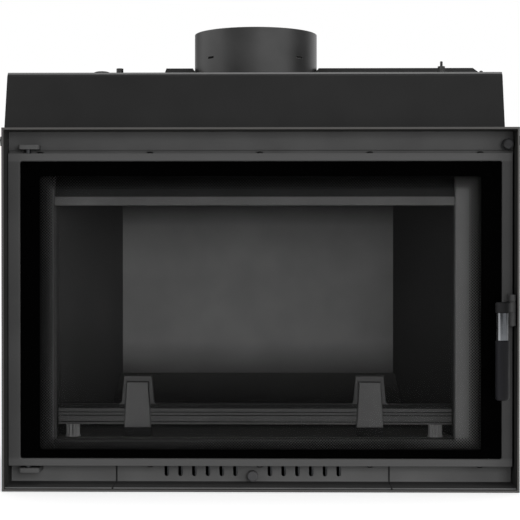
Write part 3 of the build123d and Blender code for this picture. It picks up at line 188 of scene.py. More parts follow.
PAINTS = {
    # The surround's wide, full edge wear paints its cut edges paler: a painted highlight.
    "surround_paint": stove_paint("matt_stove_paint_surround", "#2c2c2b", "#5e5d5b", 0.70, 0.02, 1.0, 1.6),
    "wall_paint": stove_paint("matt_stove_paint_inner_walls", "#3c3c3c", "#5f5f5f", 0.62, 0.06),
    "fascia_paint": stove_paint("matt_stove_paint_face_plates", "#464646", "#747474"),
    "casing_paint": stove_paint("matt_stove_paint_casing", "#1e1e1e", "#5c5c5c", 0.50, 0.16),
    "door_paint": stove_paint("matt_stove_paint_door", "#3b3b3b", "#757575"),
    "lever_paint": stove_paint("matt_stove_paint_lever", "#222223", "#3a3a3b", 0.55, 0.10),
}
# The lower plates get a paler copy of the face-plate paint: painted light that makes up for the shade of
# their recess.
lower_plates_painted_light = stove_paint("matt_stove_paint_lower_plates", "#585858", "#7c7c7c", 0.66, 0.04)
# The jamb and the header get paler copies of the wall paint, as painted light, and painted shade is laid on
# them below.
jamb_light_and_shade_paint = stove_paint("matt_stove_paint_jamb_light_and_shade", "#454545", "#6a6a6a", 0.62, 0.06)
header_light_and_shade_paint = stove_paint("matt_stove_paint_header_light_and_shade", "#565656", "#6f6f6f", 0.62, 0.06)
stiffener_paint = stove_paint("matt_stove_paint_stiffeners", "#242424", "#3c3c3c", 0.80, 0.03)
print("greys of the paint:", sum(1 for m in bpy.data.materials if "stove_paint" in m.name))

# %% [markdown]
# The paint doesn't stay even. The seams between the lower plates are dark lines. The ledges are
# painted darker as shade, and the cut edge of the surround and the fold along the top of the hood
# are painted paler as highlights. Each of these could be a piece of its own, but a mask in the
# finish keeps the shape as it is. Places are in millimetres on the object.

# %% Dark seams, painted shade and painted highlights on the outer sheets
SEAMS_X, SEAM_HALF, SEAM_FADE = (-203.25, 180.8), 0.8, 1.6
for seam_mm in SEAMS_X:
    left = by_place(lower_plates_painted_light, "X", seam_mm - SEAM_FADE, seam_mm - SEAM_HALF)
    right = by_place(lower_plates_painted_light, "X", seam_mm + SEAM_FADE, seam_mm + SEAM_HALF)
    overlay(lower_plates_painted_light, put(lower_plates_painted_light, "Math", SMALLER, in_0=left, in_1=right), "#282828")
# The lower plates end in a flange that lies on the surround, and that ledge is painted darker as shade.
overlay(lower_plates_painted_light, facing_up(lower_plates_painted_light), "#353535")

surround = PAINTS["surround_paint"]
# The lip of the surround that looks up is painted darker as shade.
overlay(surround, facing_up(surround), "#141413")
# Its cut front edge is painted paler as a highlight.
overlay(surround, by_place(surround, "Y", -159.9, -160.2), "#4b4a49")

casing = PAINTS["casing_paint"]
# The fold along the top of the hood is painted paler as a highlight.
fold_high, fold_front = by_place(casing, "Z", 576.9, 577.6), by_place(casing, "Y", -88.0, -92.0)
overlay(casing, put(casing, "Math", SMALLER, in_0=fold_high, in_1=fold_front), "#606060")
print("dark seams at X", SEAMS_X, "mm")

# %% [markdown]
# Nearer the fire the tones go further apart. The right leg of the jamb stands in fuller light
# than the left one, so it is painted paler, and the top of the jamb is painted darker as shade. The
# sloped face of the header is painted dark as shade, and its lip is painted paler as light. The
# door's rails are painted paler than its stiles, as light. The lever's eye is one knuckle of its
# hinge and is painted with the lugs, and its neck is painted dark as shadow.

# %% Painted light and shade on the door and round the fire opening
# Painted light: the right leg of the jamb is paler than the left.
overlay(jamb_light_and_shade_paint, by_place(jamb_light_and_shade_paint, "X", 200.0, 280.0, 0.0, 0.8), "#6a6a6a")
# Painted shade: the top of the jamb is darker.
overlay(jamb_light_and_shade_paint, by_place(jamb_light_and_shade_paint, "Z", 430.0, 437.0, 0.0, 0.85), "#2b2b2b")
# Painted shade: the header's sloped face above its lip is dark.
overlay(header_light_and_shade_paint, by_place(header_light_and_shade_paint, "Z", 405.9, 407.4, 0.0, 0.92), "#1f1f1f")

door_paint = PAINTS["door_paint"]
# Painted light: the door's rails are paler than its stiles.
low_rail, high_rail = by_place(door_paint, "Z", 44.0, 40.0), by_place(door_paint, "Z", 454.0, 456.0)
overlay(door_paint, put(door_paint, "Math", LARGER, in_0=low_rail, in_1=high_rail), "#474747")

lever = PAINTS["lever_paint"]
# Painted shadow: the lever's neck is darker.
overlay(lever, by_place(lever, "X", 321.0, 331.0, 0.0, 0.85), "#060606")
overlay(lever, by_place(lever, "X", 339.4, 340.4), "#3b3b3b")
print("tones by place on:", jamb_light_and_shade_paint.name, header_light_and_shade_paint.name, door_paint.name, lever.name)

# %% [markdown]
# The flue collar is rolled tube with a thinner, slightly shinier coat. In the picture its two
# sides catch the bright room while its middle stays dark, which needs a smoother surface than
# the matt sheets. Rolling leaves faint rings, so a wave round the tube's axis is mixed in.

# %% Satin paint on the rolled collar
finish, shader, place, soft, edge = start_finish("satin_stove_paint_rolled_tube")
rings = put(finish, "TexWave", {"wave_type": "BANDS", "bands_direction": "Z"},
            in_Vector=place, in_Scale=110.0, in_Distortion=2.0, in_Detail=2.0).outputs[1]
drift = put(finish, "TexNoise", **BROKEN, in_Vector=place, in_Scale=1 / (40.0 * MM))
coat = put(finish, "MapRange", **MIDDLE, in_0=drift, in_3=0.0, in_4=1.0)
tone = put(finish, "Mix", COLOUR, in_0=coat, in_6=shade("#202020"), in_7=shade("#2b2b2b"))
colour = put(finish, "Mix", COLOUR, in_0=edge, in_6=tone, in_7=shade("#6c6c6a"))
satin = put(finish, "MapRange", **MIDDLE, in_0=rings, in_3=0.30, in_4=0.35)
bump = put(finish, "Bump", in_Strength=0.015, in_Distance=0.2 * MM, in_Height=rings, in_Normal=soft)
feed(shader, in_Base_Color=colour, in_Roughness=satin, in_Normal=bump)
feed(shader, in_IOR=1.5, in_Specular_IOR_Level=0.8)
PAINTS["collar_steel"] = finish
print("collar finish:", finish.name)

# %% [markdown]
# The log guard and the side and back linings are grey iron cast in sand. A casting keeps the
# print of the sand, grains of 1 to 2 mm with a few pits, and its high edges are rubbed smooth.
# A Voronoi pattern gives the pits and a noise gives the grain. Heat dulls iron to an even grey.

# %% Sand-cast iron


def cast_iron(name, tone, grit_mm, rough, depth):
    finish, shader, place, soft, edge = start_finish(name, 1.2)
    sand = put(finish, "TexNoise", **GRITTY, in_Vector=place, in_Scale=1 / (grit_mm * MM))
    pits = put(finish, "TexVoronoi", {"feature": "F1"}, in_Vector=place, in_Scale=1 / (2.5 * grit_mm * MM))
    stain = put(finish, "TexNoise", **BROKEN, in_Vector=place, in_Scale=1 / (120.0 * MM))
    bright = shade(tone, 1.22)
    heat = put(finish, "MapRange", **MIDDLE, in_0=stain, in_3=0.1, in_4=0.9)
    body = put(finish, "Mix", COLOUR, in_0=heat, in_6=shade(tone, 0.78), in_7=bright)
    grains = put(finish, "MapRange", **MIDDLE, in_0=sand, in_3=0.0, in_4=0.35)
    speck = put(finish, "Mix", COLOUR, in_0=grains, in_6=body, in_7=bright)
    rub = put(finish, "MapRange", in_0=edge, in_1=0.0, in_2=1.0, in_3=0.0, in_4=0.5)
    colour = put(finish, "Mix", COLOUR, in_0=rub, in_6=speck, in_7=bright)
    hollows = put(finish, "MapRange", in_0=pits, in_1=0.0, in_2=0.35, in_3=-0.35, in_4=0.0)
    relief = put(finish, "Math", PLUS, in_0=sand, in_1=hollows)
    matt = put(finish, "MapRange", **MIDDLE, in_0=sand, in_3=rough - 0.08, in_4=rough + 0.08)
    bump = put(finish, "Bump", in_Strength=depth, in_Distance=0.5 * MM, in_Height=relief, in_Normal=soft)
    feed(shader, in_Base_Color=colour, in_Roughness=matt, in_Normal=bump)
    feed(shader, in_IOR=1.5, in_Specular_IOR_Level=0.2)
    return finish


PAINTS["liner_iron"] = cast_iron("sand_cast_iron_back_lining", "#717171", 1.8, 0.78, 0.2)
# The side linings are darker copies of the back lining's iron, the right one the darkest: painted shade.
shaded_left_lining = cast_iron("shaded_cast_iron_left_lining", "#343434", 1.8, 0.82, 0.2)
shaded_right_lining = cast_iron("shaded_cast_iron_right_lining", "#242424", 1.8, 0.82, 0.2)
# The feet get a paler copy of the guard's iron: painted light on their ridges.
bright_feet = cast_iron("sand_cast_iron_feet", "#6c6c6c", 1.5, 0.62, 0.3)
PAINTS["guard_iron"] = cast_iron("sand_cast_iron_log_guard", "#4e4e4e", 1.5, 0.62, 0.3)
print("iron finishes:", sum(1 for m in bpy.data.materials if "cast_iron" in m.name))

# %% [markdown]
# Shade is painted low in the chamber and under the header, and darkest on the two side linings.
# On the log guard shade is painted on every ledge, beside the raised pads and in the grooves of
# the rail.

# %% Painted shade on the linings and the log guard
back = PAINTS["liner_iron"]
# Painted shade low on the back lining, and painted shadow under the header at its top.
low_painted_shade = by_place(back, "Z", 186.0, 136.0, 0.0, 0.72)
painted_shadow_under_header = by_place(back, "Z", 370.0, 404.0, 0.0, 0.75)
overlay(back, put(back, "Math", LARGER, in_0=low_painted_shade, in_1=painted_shadow_under_header), "#101010")
# Painted shade: the side linings darken towards the bottom.
for side in (shaded_left_lining, shaded_right_lining):
    overlay(side, by_place(side, "Z", 240.0, 70.0, 0.0, 0.95), "#040404")

guard = PAINTS["guard_iron"]
# Painted shade on the log guard: in the grooves of the rail, behind and under its edge, beside the raised
# pads and on every ledge.
overlay(guard, by_place(guard, "Y", -85.5, -83.0, 0.0, 0.30), "#101010")
behind, below = by_place(guard, "Y", -82.1, -81.4, 0.0, 0.95), by_place(guard, "Z", 112.6, 112.0)
overlay(guard, put(guard, "Math", SMALLER, in_0=behind, in_1=below), "#040404")
proud, inside = by_place(guard, "Y", -80.6, -81.0), by_place(guard, "Y", -86.1, -85.7)
pad_sides = put(guard, "Math", SMALLER, in_0=proud, in_1=inside)
above = by_place(guard, "Z", 112.0, 112.6)
overlay(guard, put(guard, "Math", SMALLER, in_0=pad_sides, in_1=above), "#060606")
overlay(guard, facing_up(guard), "#222222")
print("soot on:", back.name, shaded_left_lining.name, shaded_right_lining.name, guard.name)

# %% [markdown]
# The hearth slab, the ramp behind it and the smoke baffle are pressed fireclay, a fired mix of
# clay and crushed brick. Chips of 3 to 5 mm show in a finer ground. The ramp is painted nearly
# black as shade, darkest low down and towards the back, while the front of the slab round the
# guard is painted paler as light.

# %% Pressed fireclay
CHIP_MM = 4.0
finish, shader, place, soft = start_finish("pressed_fireclay", 1.5)[:4]
chips = put(finish, "TexVoronoi", {"feature": "F1"}, in_Vector=place, in_Scale=1 / (CHIP_MM * MM))
ground = put(finish, "TexNoise", **GRITTY, in_Vector=place, in_Scale=1 / (1.5 * MM))
ash = put(finish, "TexNoise", **GRITTY, in_Vector=place, in_Scale=1 / (70.0 * MM))
fine = put(finish, "MapRange", **MIDDLE, in_0=ground, in_3=0.0, in_4=1.0)
clay = put(finish, "Mix", COLOUR, in_0=fine, in_6=shade("#1e1e1d"), in_7=shade("#2c2c2b"))
chip = put(finish, "MapRange", in_0=chips, in_1=0.10, in_2=0.24, in_3=0.55, in_4=0.0)
colour = put(finish, "Mix", COLOUR, in_0=chip, in_6=clay, in_7=shade("#353534"))
dusty = put(finish, "MapRange", **MIDDLE, in_0=ash, in_3=0.0, in_4=0.4)
colour = put(finish, "Mix", COLOUR, in_0=dusty, in_6=colour, in_7=shade("#30302f"))
matt = put(finish, "MapRange", **MIDDLE, in_0=ground, in_3=0.82, in_4=0.95)
bump = put(finish, "Bump", in_Strength=0.35, in_Distance=0.5 * MM, in_Height=ground, in_Normal=soft)
feed(shader, in_Base_Color=colour, in_Roughness=matt, in_Normal=bump, in_Specular_IOR_Level=0.1)
# Painted shade: low down and towards the back the fireclay is nearly black.
low_down, behind = by_place(finish, "Z", 138.0, 98.0, 0.0, 0.9), by_place(finish, "Y", -60.0, -20.0)
overlay(finish, put(finish, "Math", SMALLER, in_0=low_down, in_1=behind), "#040404")
# Painted light: the front of the slab is paler.
overlay(finish, by_place(finish, "Y", 45.0, 5.0), "#343433")
PAINTS["refractory"] = finish
print("fireclay chips are", CHIP_MM, "mm")

# %% [markdown]
# Bare metal is where the eye looks for scratches. Turning leaves rings round a pin, brushing
# leaves long parallel lines, and zinc plating leaves a soft crystal mottle. The first two are
# one noise stretched along the tool's path. A metal keeps the shader's own index of refraction.

# %% Bare and plated steel


def bare_steel(name, tone, smut, rough, stretch=(1.0, 1.0, 1.0), line_mm=0.9, mottle_mm=14.0):
    finish, shader, place, soft = start_finish(name, 0.4)[:4]
    along = put(finish, "Mapping", in_Vector=place, in_Scale=stretch)
    lines = put(finish, "TexNoise", **BROKEN, in_Vector=along, in_Scale=1 / (line_mm * MM))
    mottle = put(finish, "TexNoise", in_Vector=place, in_Scale=1 / (mottle_mm * MM), in_Detail=3.0,
                 in_Roughness=0.6)
    dull = put(finish, "MapRange", **MIDDLE, in_0=mottle, in_3=0.0, in_4=0.55)
    colour = put(finish, "Mix", COLOUR, in_0=dull, in_6=shade(tone), in_7=shade(smut))
    gloss = put(finish, "MapRange", **MIDDLE, in_0=lines, in_3=rough - 0.08, in_4=rough + 0.10)
    bump = put(finish, "Bump", in_Strength=0.12, in_Distance=0.1 * MM, in_Height=lines, in_Normal=soft)
    feed(shader, in_Base_Color=colour, in_Roughness=gloss, in_Normal=bump, in_Metallic=1.0)
    return finish


AROUND, UPWARD, SIDEWAYS = (0.05, 0.05, 1.0), (1.0, 1.0, 0.04), (0.04, 1.0, 1.0)
ferrule = bare_steel("brushed_stainless_ferrule", "#626467", "#515356", 0.20, UPWARD, 1.2)
# Painted highlight: a bright streak down the ferrule's left side.
overlay(ferrule, by_place(ferrule, "X", 325.5, 322.5), "#a4a6a9")
PAINTS["ferrule_steel"] = ferrule
PAINTS["bright_steel"] = bare_steel("turned_bright_steel", "#505153", "#303132", 0.40, AROUND)
PAINTS["zinc_steel"] = bare_steel("blackened_zinc_plate", "#6f6f6e", "#444444", 0.48, mottle_mm=5.0)
PAINTS["slider_steel"] = bare_steel("rolled_steel_shutter", "#58595b", "#38393a", 0.46, SIDEWAYS)
PAINTS["damper_steel"] = bare_steel("heat_dulled_steel_plate", "#514d49", "#2f2c2a", 0.52, mottle_mm=30.0)
PAINTS["door_screw_steel"] = bare_steel("blackened_screw_steel", "#4c4c4c", "#2a2a2a", 0.42, AROUND,
                                        mottle_mm=3.0)
print("tool marks are stretched by", AROUND, UPWARD, SIDEWAYS)

# %% [markdown]
# The window is glass-ceramic, clear with a faint smoky tint. If it bent the light as thick glass
# does, no lamp would reach the fire chamber, so it is drawn thin: mostly see-through, with a
# faint film of smoke that changes how sharp its reflections are. A coating keeps those faint.

# %% Glass-ceramic window
finish, shader, place = start_finish("clear_glass_ceramic")[:3]
film = put(finish, "TexNoise", **BROKEN, in_Vector=place, in_Scale=1 / (60.0 * MM))
smoke = put(finish, "MapRange", **MIDDLE, in_0=film, in_3=0.0, in_4=1.0)
tint = put(finish, "Mix", COLOUR, in_0=smoke, in_6=shade("#121212"), in_7=shade("#1a1a1a"))
gloss = put(finish, "MapRange", **MIDDLE, in_0=film, in_3=0.03, in_4=0.09)
feed(shader, in_Base_Color=tint, in_Roughness=gloss, in_IOR=1.53, in_Specular_IOR_Level=0.08, in_Alpha=0.14)
PAINTS["door_glass"] = finish
print("window alpha:", round(shader.inputs["Alpha"].default_value, 2))

# %% [markdown]
# A black border is screen-printed round the window and fired on. It hides the seals. Its inner
# edge breaks up into rows of dots, so that the black doesn't end in a hard line. The print is a
# ceramic enamel: deeper black than any paint, with a slight eggshell texture.

# %% Fired black enamel
enamel, shader, place = start_finish("fired_black_enamel", 0.1)[:3]
mesh_marks = put(enamel, "TexNoise", **SMOOTH, in_Vector=place, in_Scale=1 / (1.2 * MM))
thick = put(enamel, "MapRange", **MIDDLE, in_0=mesh_marks, in_3=0.0, in_4=1.0)
ink = put(enamel, "Mix", COLOUR, in_0=thick, in_6=shade("#000000"), in_7=shade("#020202"))
eggshell = put(enamel, "MapRange", **MIDDLE, in_0=mesh_marks, in_3=0.35, in_4=0.5)
bump = put(enamel, "Bump", in_Strength=0.05, in_Distance=0.05 * MM, in_Height=mesh_marks)
feed(shader, in_Base_Color=ink, in_Roughness=eggshell, in_Normal=bump, in_Specular_IOR_Level=0.005)
print("enamel finish:", enamel.name)

# %% [markdown]
# The door closes on a rope knitted from glass fibre, and thin tape of the same yarn beds the
# glass. The yarn goes round in two slanting directions, so two crossed waves make the relief and
# darken the gaps between the stitches.

# %% Knitted glass fibre
YARN_SCALE = 150.0
SLANT = {"bands_direction": "DIAGONAL"}
finish, shader, place = start_finish("knitted_glass_fibre", 0.3)[:3]
one_way = put(finish, "TexWave", SLANT, in_Vector=place, in_Scale=YARN_SCALE, in_Distortion=1.0)
turned_place = put(finish, "Mapping", in_Vector=place, in_Rotation=(0.0, math.radians(90), 0.0))
other_way = put(finish, "TexWave", SLANT, in_Vector=turned_place, in_Scale=YARN_SCALE)
stitch = put(finish, "Math", LARGER, in_0=one_way.outputs[1], in_1=other_way.outputs[1])
fuzz = put(finish, "TexNoise", **BROKEN, in_Vector=place, in_Scale=1 / (0.8 * MM))
high = put(finish, "MapRange", in_0=stitch, in_1=0.2, in_2=0.9, in_3=0.0, in_4=1.0)
yarn = put(finish, "Mix", COLOUR, in_0=high, in_6=shade("#222222"), in_7=shade("#565452"))
hairs = put(finish, "MapRange", **MIDDLE, in_0=fuzz, in_3=0.0, in_4=0.3)
colour = put(finish, "Mix", COLOUR, in_0=hairs, in_6=yarn, in_7=shade("#6a6866"))
matt = put(finish, "MapRange", **MIDDLE, in_0=stitch, in_3=0.95, in_4=0.85)
bump = put(finish, "Bump", in_Strength=0.6, in_Distance=0.6 * MM, in_Height=stitch)
feed(shader, in_Base_Color=colour, in_Roughness=matt, in_Normal=bump, in_Sheen_Weight=0.15)
feed(shader, in_Specular_IOR_Level=0.1)
PAINTS["seal_fibre"] = finish
print("rope yarn waves at", round(1000 / YARN_SCALE / 2, 1), "mm")

# %% [markdown]
# The grip and the two knobs are phenolic resin, moulded black. It stays cool to the touch. The
# mould was blasted, so the resin has an even fine grain that hands slowly polish. The grip's
# left side is painted paler, as a highlight.

# %% Moulded phenolic resin


def phenolic(name, tone, rubbed, rough):
    finish, shader, place, soft, edge = start_finish(name, 1.0)
    grain = put(finish, "TexNoise", **SMOOTH, in_Vector=place, in_Scale=1 / (1.0 * MM))
    hands = put(finish, "TexNoise", **BROKEN, in_Vector=place, in_Scale=1 / (22.0 * MM))
    held = put(finish, "MapRange", **MIDDLE, in_0=hands, in_3=0.0, in_4=0.5)
    colour = put(finish, "Mix", COLOUR, in_0=held, in_6=shade(tone), in_7=shade(rubbed))
    rub = put(finish, "MapRange", in_0=edge, in_1=0.0, in_2=1.0, in_3=0.0, in_4=0.4)
    colour = put(finish, "Mix", COLOUR, in_0=rub, in_6=colour, in_7=shade(rubbed))
    polish = put(finish, "MapRange", **MIDDLE, in_0=hands, in_3=rough - 0.06, in_4=rough + 0.08)
    bump = put(finish, "Bump", in_Strength=0.12, in_Distance=0.15 * MM, in_Height=grain, in_Normal=soft)
    feed(shader, in_Base_Color=colour, in_Roughness=polish, in_Normal=bump)
    feed(shader, in_IOR=1.6, in_Specular_IOR_Level=0.12)
    return finish


grip_resin = phenolic("moulded_phenolic_grip", "#09090b", "#0f0f12", 0.46)
# Painted highlight: the grip's left side is paler.
overlay(grip_resin, by_place(grip_resin, "X", 329.0, 321.0), "#1a1a1d")
PAINTS["grip_black"] = grip_resin
PAINTS["knob_black"] = phenolic("moulded_phenolic_damper_knob", "#29292a", "#3a3a3c", 0.38)
air_knob_resin = phenolic("moulded_phenolic_air_knob", "#434344", "#565657", 0.5)
print("resin finishes:", sum(1 for m in bpy.data.materials if "phenolic" in m.name))

# %% [markdown]
# The record names a slot of finish for every CAD node. Here each group of nodes gets its finish.
# A few nodes then change to a state of their own: side linings painted darker as shade, feet
# painted paler as light, the header and the jamb with painted light and shade, the black
# stiffeners, and the lower plates, painted a shade lighter than the upper one to make up for the
# shade of their recess.
# A CAD mesh is never changed: only its material slots are.

# %% Dress the CAD nodes
GROUPS = {
    "surround_paint": "surround_frame",
    "wall_paint": "front_wall jamb_frame airwash_header floor_plate",
    "fascia_paint": "upper_face_plate fascia_left fascia_right air_panel hinge_tab_upper hinge_tab_lower",
    "casing_paint": "hood_front casing_left casing_right casing_back casing_bottom top_plate "
                    "top_stiffener_left top_stiffener_right top_plug",
    "door_paint": "door_frame glass_retainer handle_lugs",
    "lever_paint": "handle_lever",
    "collar_steel": "flue_collar",
    "liner_iron": "liner_left liner_right liner_back",
    "guard_iron": "log_guard guard_feet",
    "refractory": "hearth_slab hearth_ramp baffle",
    "door_glass": "door_glass",
    "seal_fibre": "glass_tapes door_rope_seal",
    "grip_black": "handle_grip",
    "knob_black": "air_knob damper_knob",
    "ferrule_steel": "handle_ferrule",
    "bright_steel": "latch_keeper hinge_pins handle_pin handle_tie_rod damper_spindle damper_rod",
    "zinc_steel": "side_screws top_hex_bolt top_stud top_stud_nut top_rivet damper_screws",
    "slider_steel": "air_slider slider_rails linkage_bushes rod_guides",
    "damper_steel": "damper_disc damper_crank",
    "door_screw_steel": "door_edge_screws",
}

dressed = 0
for slot_name, names in GROUPS.items():
    for name in names.split():
        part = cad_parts[name]
        if not part.material_slots:
            part.data.materials.append(PAINTS[slot_name])
        for slot in part.material_slots:
            slot.material = PAINTS[slot_name]
        dressed += 1
VARIANTS = {"liner_left": shaded_left_lining, "liner_right": shaded_right_lining, "guard_feet": bright_feet,
            "jamb_frame": jamb_light_and_shade_paint, "airwash_header": header_light_and_shade_paint,
            "top_stiffener_left": stiffener_paint, "top_stiffener_right": stiffener_paint,
            "fascia_left": lower_plates_painted_light, "fascia_right": lower_plates_painted_light, "air_panel": lower_plates_painted_light}
for name, finish in VARIANTS.items():
    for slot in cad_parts[name].material_slots:
        slot.material = finish
print("dressed", dressed, "of", len(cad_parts))

# %% [markdown]
# The small round pieces are turned or moulded, so each one is a profile spun about its axis.
# A profile is a list of (radius, height) points in millimetres whose corners are then rounded,
# the way a lathe tool or a mould would leave them. A plain cylinder would show hard edges that no
# real knob has.

# %% Rounded profiles and turned pieces


def rounded(points, radius, steps=4, closed=False):
    """Replace each inner corner of a line of points by a small curve."""
    points = [Vector(p) for p in points]
    count = len(points)
    line = []
    for i, corner in enumerate(points):
        if not closed and i in (0, count - 1):
            line.append(corner)
            continue
        before, after = points[i - 1] - corner, points[(i + 1) % count] - corner
        reach = min(radius, before.length / 2, after.length / 2)
        first, last = corner + before.normalized() * reach, corner + after.normalized() * reach
        for k in range(steps + 1):
            t = k / steps
            line.append(first * (1 - t) ** 2 + corner * 2 * t * (1 - t) + last * t ** 2)
    return line


def finished_piece(name, verts, faces, finish, body, slot_name, hides=(), crease=40.0):
    """Make a mesh piece in millimetres, smooth it, dress it and set it on its body."""
    mesh = bpy.data.meshes.new(name)
    mesh.from_pydata([Vector(v) * MM for v in verts], [], faces)
    mesh.validate()
    mesh.shade_smooth()
    mesh.set_sharp_from_angle(angle=math.radians(crease))
    mesh.materials.append(finish)
    piece = bpy.data.objects.new(name, mesh)
    bpy.context.collection.objects.link(piece)
    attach(piece, body)
    if hides:
        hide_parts(*hides)


def skin(rows, sides):
    """Faces of a tube whose rows lie between rings of points, and a cap on each of its ends."""
    faces = []
    for row in range(rows):
        for k in range(sides):
            a, b = row * sides + k, row * sides + (k + 1) % sides
            faces.append((a, b, b + sides, a + sides))
    return faces + [tuple(reversed(range(sides))), tuple(range(rows * sides, (rows + 1) * sides))]


def spin(profile, centre, axis, sides=40):
    """Spin (radius, height) points about an axis through centre. Height runs along the axis."""
    along = Vector(axis).normalized()
    across = along.orthogonal().normalized()
    other = along.cross(across)
    verts = []
    for radius, height in profile:
        for k in range(sides):
            angle = 2 * math.pi * k / sides
            arm = across * math.cos(angle) + other * math.sin(angle)
            verts.append(Vector(centre) + along * height + arm * max(radius, 0.0001))
    return verts, skin(len(profile) - 1, sides)


def joined(parts):
    """Put several vertex and face lists into one."""
    verts, faces = [], []
    for more_verts, more_faces in parts:
        start = len(verts)
        verts += more_verts
        faces += [tuple(i + start for i in face) for face in more_faces]
    return verts, faces


def size_mm(node):
    """Low and high corner of a CAD node in millimetres."""
    low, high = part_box(node)
    return low / MM, high / MM


print("spinning tools ready")

# %% [markdown]
# The two knobs have a flat cap with a rolled edge. The air knob stands on a thin stem that goes
# through the slotted panel. The damper knob is pushed on the end of its rod, so its back has a
# blind hole.

# %% Air knob and damper knob
low, high = size_mm("air_knob")
middle = (low + high) / 2
knob_r = (high.x - low.x) / 2
CAP_L, STEM_R = 12.0, 2.5
# Two points just beside the stem's corner keep its rounding small, so that it clears the slot.
cap = [(0.0, 0.35), (knob_r - 1.6, 0.0), (knob_r, 1.2), (knob_r, CAP_L),
       (STEM_R + 0.5, CAP_L), (STEM_R, CAP_L), (STEM_R, CAP_L + 0.3), (STEM_R, high.y - low.y)]
finished_piece("air_knob_turned", *spin(rounded(cap, 1.2), (middle.x, low.y, middle.z), (0, 1, 0)),
               air_knob_resin, "air_shutter", "knob_black", ["air_knob"])
print("air knob is", round(2 * knob_r, 1), "mm across")

low, high = size_mm("damper_knob")
middle = (low + high) / 2
knob_r = (high.x - low.x) / 2
depth = high.y - low.y
HOLE_R, HOLE_DEPTH = 4.1, 8.2
cap = [(0.0, 0.5), (knob_r - 2.0, 0.0), (knob_r, 2.0), (knob_r, depth - 0.8), (knob_r - 0.8, depth),
       (HOLE_R, depth), (HOLE_R, depth - HOLE_DEPTH), (0.0, depth - HOLE_DEPTH)]
finished_piece("damper_knob_turned", *spin(rounded(cap, 1.4), (middle.x, low.y, middle.z), (0, 1, 0)),
               PAINTS["knob_black"], "pull_rod", "knob_black", ["damper_knob"])
print("damper knob is", round(2 * knob_r, 1), "mm across")

# %% [markdown]
# The grip is a straight moulded bar with a rounded foot, bored for the rod that holds it. Above it
# sits the ferrule, a bright steel sleeve that keeps the resin off the hot lever. Its ends are
# lightly rounded, so two thin dark lines show where it meets its neighbours.

# %% Grip and ferrule
low, high = size_mm("handle_grip")
middle = (low + high) / 2
grip_r = (high.x - low.x) / 2
grip_l = high.z - low.z
ROD_HOLE_R, ROD_HOLE_FOOT = 3.1, 12.0
bar = [(0.0, 0.0), (grip_r * 0.60, 0.15), (grip_r * 0.90, 1.0), (grip_r, 3.4), (grip_r, grip_l - 0.6),
       (grip_r - 0.7, grip_l), (ROD_HOLE_R, grip_l), (ROD_HOLE_R, ROD_HOLE_FOOT), (0.0, ROD_HOLE_FOOT)]
finished_piece("handle_grip_moulded", *spin(rounded(bar, 2.2), (middle.x, middle.y, low.z), (0, 0, 1)),
               PAINTS["grip_black"], "handle", "grip_black", ["handle_grip"])
print("grip is", round(2 * grip_r, 1), "mm thick and", round(grip_l, 1), "mm long")

low, high = size_mm("handle_ferrule")
sleeve_r = (high.x - low.x) / 2
sleeve_l = high.z - low.z
BORE_R, EASED = 3.06, 0.5
sleeve = [(BORE_R, 0.0), (sleeve_r - EASED, 0.0), (sleeve_r, EASED), (sleeve_r, sleeve_l - EASED),
          (sleeve_r - EASED, sleeve_l), (BORE_R, sleeve_l)]
foot = (middle.x, middle.y, low.z)
finished_piece("handle_ferrule_polished", *spin(rounded(sleeve, EASED), foot, (0, 0, 1)),
               PAINTS["ferrule_steel"], "handle", "ferrule_steel", ["handle_ferrule"])
print("ferrule is", round(sleeve_l, 1), "mm long")

# %% [markdown]
# Ten small screws with low round heads hold the door's inner frame. On the hot top plate sit a
# plug with a cushion shape, a round rivet and a stud with a nut. The heads are spun profiles too.

# %% Screw heads, plug and rivet
low, high = size_mm("door_edge_screws")
head_r, head_h = 4.7, 2.7
head = [(head_r, 0.0), (head_r, 0.7), (head_r * 0.86, head_h * 0.72), (head_r * 0.5, head_h * 0.96),
        (0.0, head_h)]
heads = []
for k in range(5):
    x = low.x + head_r + k * (high.x - low.x - 2 * head_r) / 4
    y = (low.y + high.y) / 2
    heads.append(spin(rounded(head, 1.2), (x, y, high.z - head_h), (0, 0, 1), 24))
    heads.append(spin(rounded(head, 1.2), (x, y, low.z + head_h), (0, 0, -1), 24))
finished_piece("door_screw_heads", *joined(heads), PAINTS["door_screw_steel"], "door", "door_screw_steel",
               ["door_edge_screws"])

low, high = size_mm("top_plug")
plug_r, plug_h = (high.x - low.x) / 2, high.z - low.z
dome = [(plug_r, 0.0), (plug_r, plug_h * 0.42), (plug_r * 0.9, plug_h * 0.72), (plug_r * 0.6, plug_h * 0.95),
        (0.0, plug_h)]
foot = ((low.x + high.x) / 2, (low.y + high.y) / 2, low.z)
finished_piece("top_plug_domed", *spin(rounded(dome, 3.0), foot, (0, 0, 1)),
               PAINTS["casing_paint"], "insert", "casing_paint", ["top_plug"])

low, high = size_mm("top_rivet")
snap_r, snap_h = (high.x - low.x) / 2, high.z - low.z
snap = [(snap_r, 0.0), (snap_r, snap_h * 0.4), (snap_r * 0.75, snap_h * 0.85), (0.0, snap_h)]
foot = ((low.x + high.x) / 2, (low.y + high.y) / 2, low.z)
finished_piece("top_rivet_round", *spin(rounded(snap, 1.6), foot, (0, 0, 1), 28),
               PAINTS["zinc_steel"], "insert", "zinc_steel", ["top_rivet"])
print("screw heads:", len(heads), "and a plug", round(2 * plug_r, 1), "mm across")

# %% [markdown]
# The stud's thread stands out above its nut. It is a ridge that climbs one pitch per turn, so the
# radius of each point follows its angle and its height. Five rows of points to a turn are enough
# to show it, and the top of the stud is chamfered.

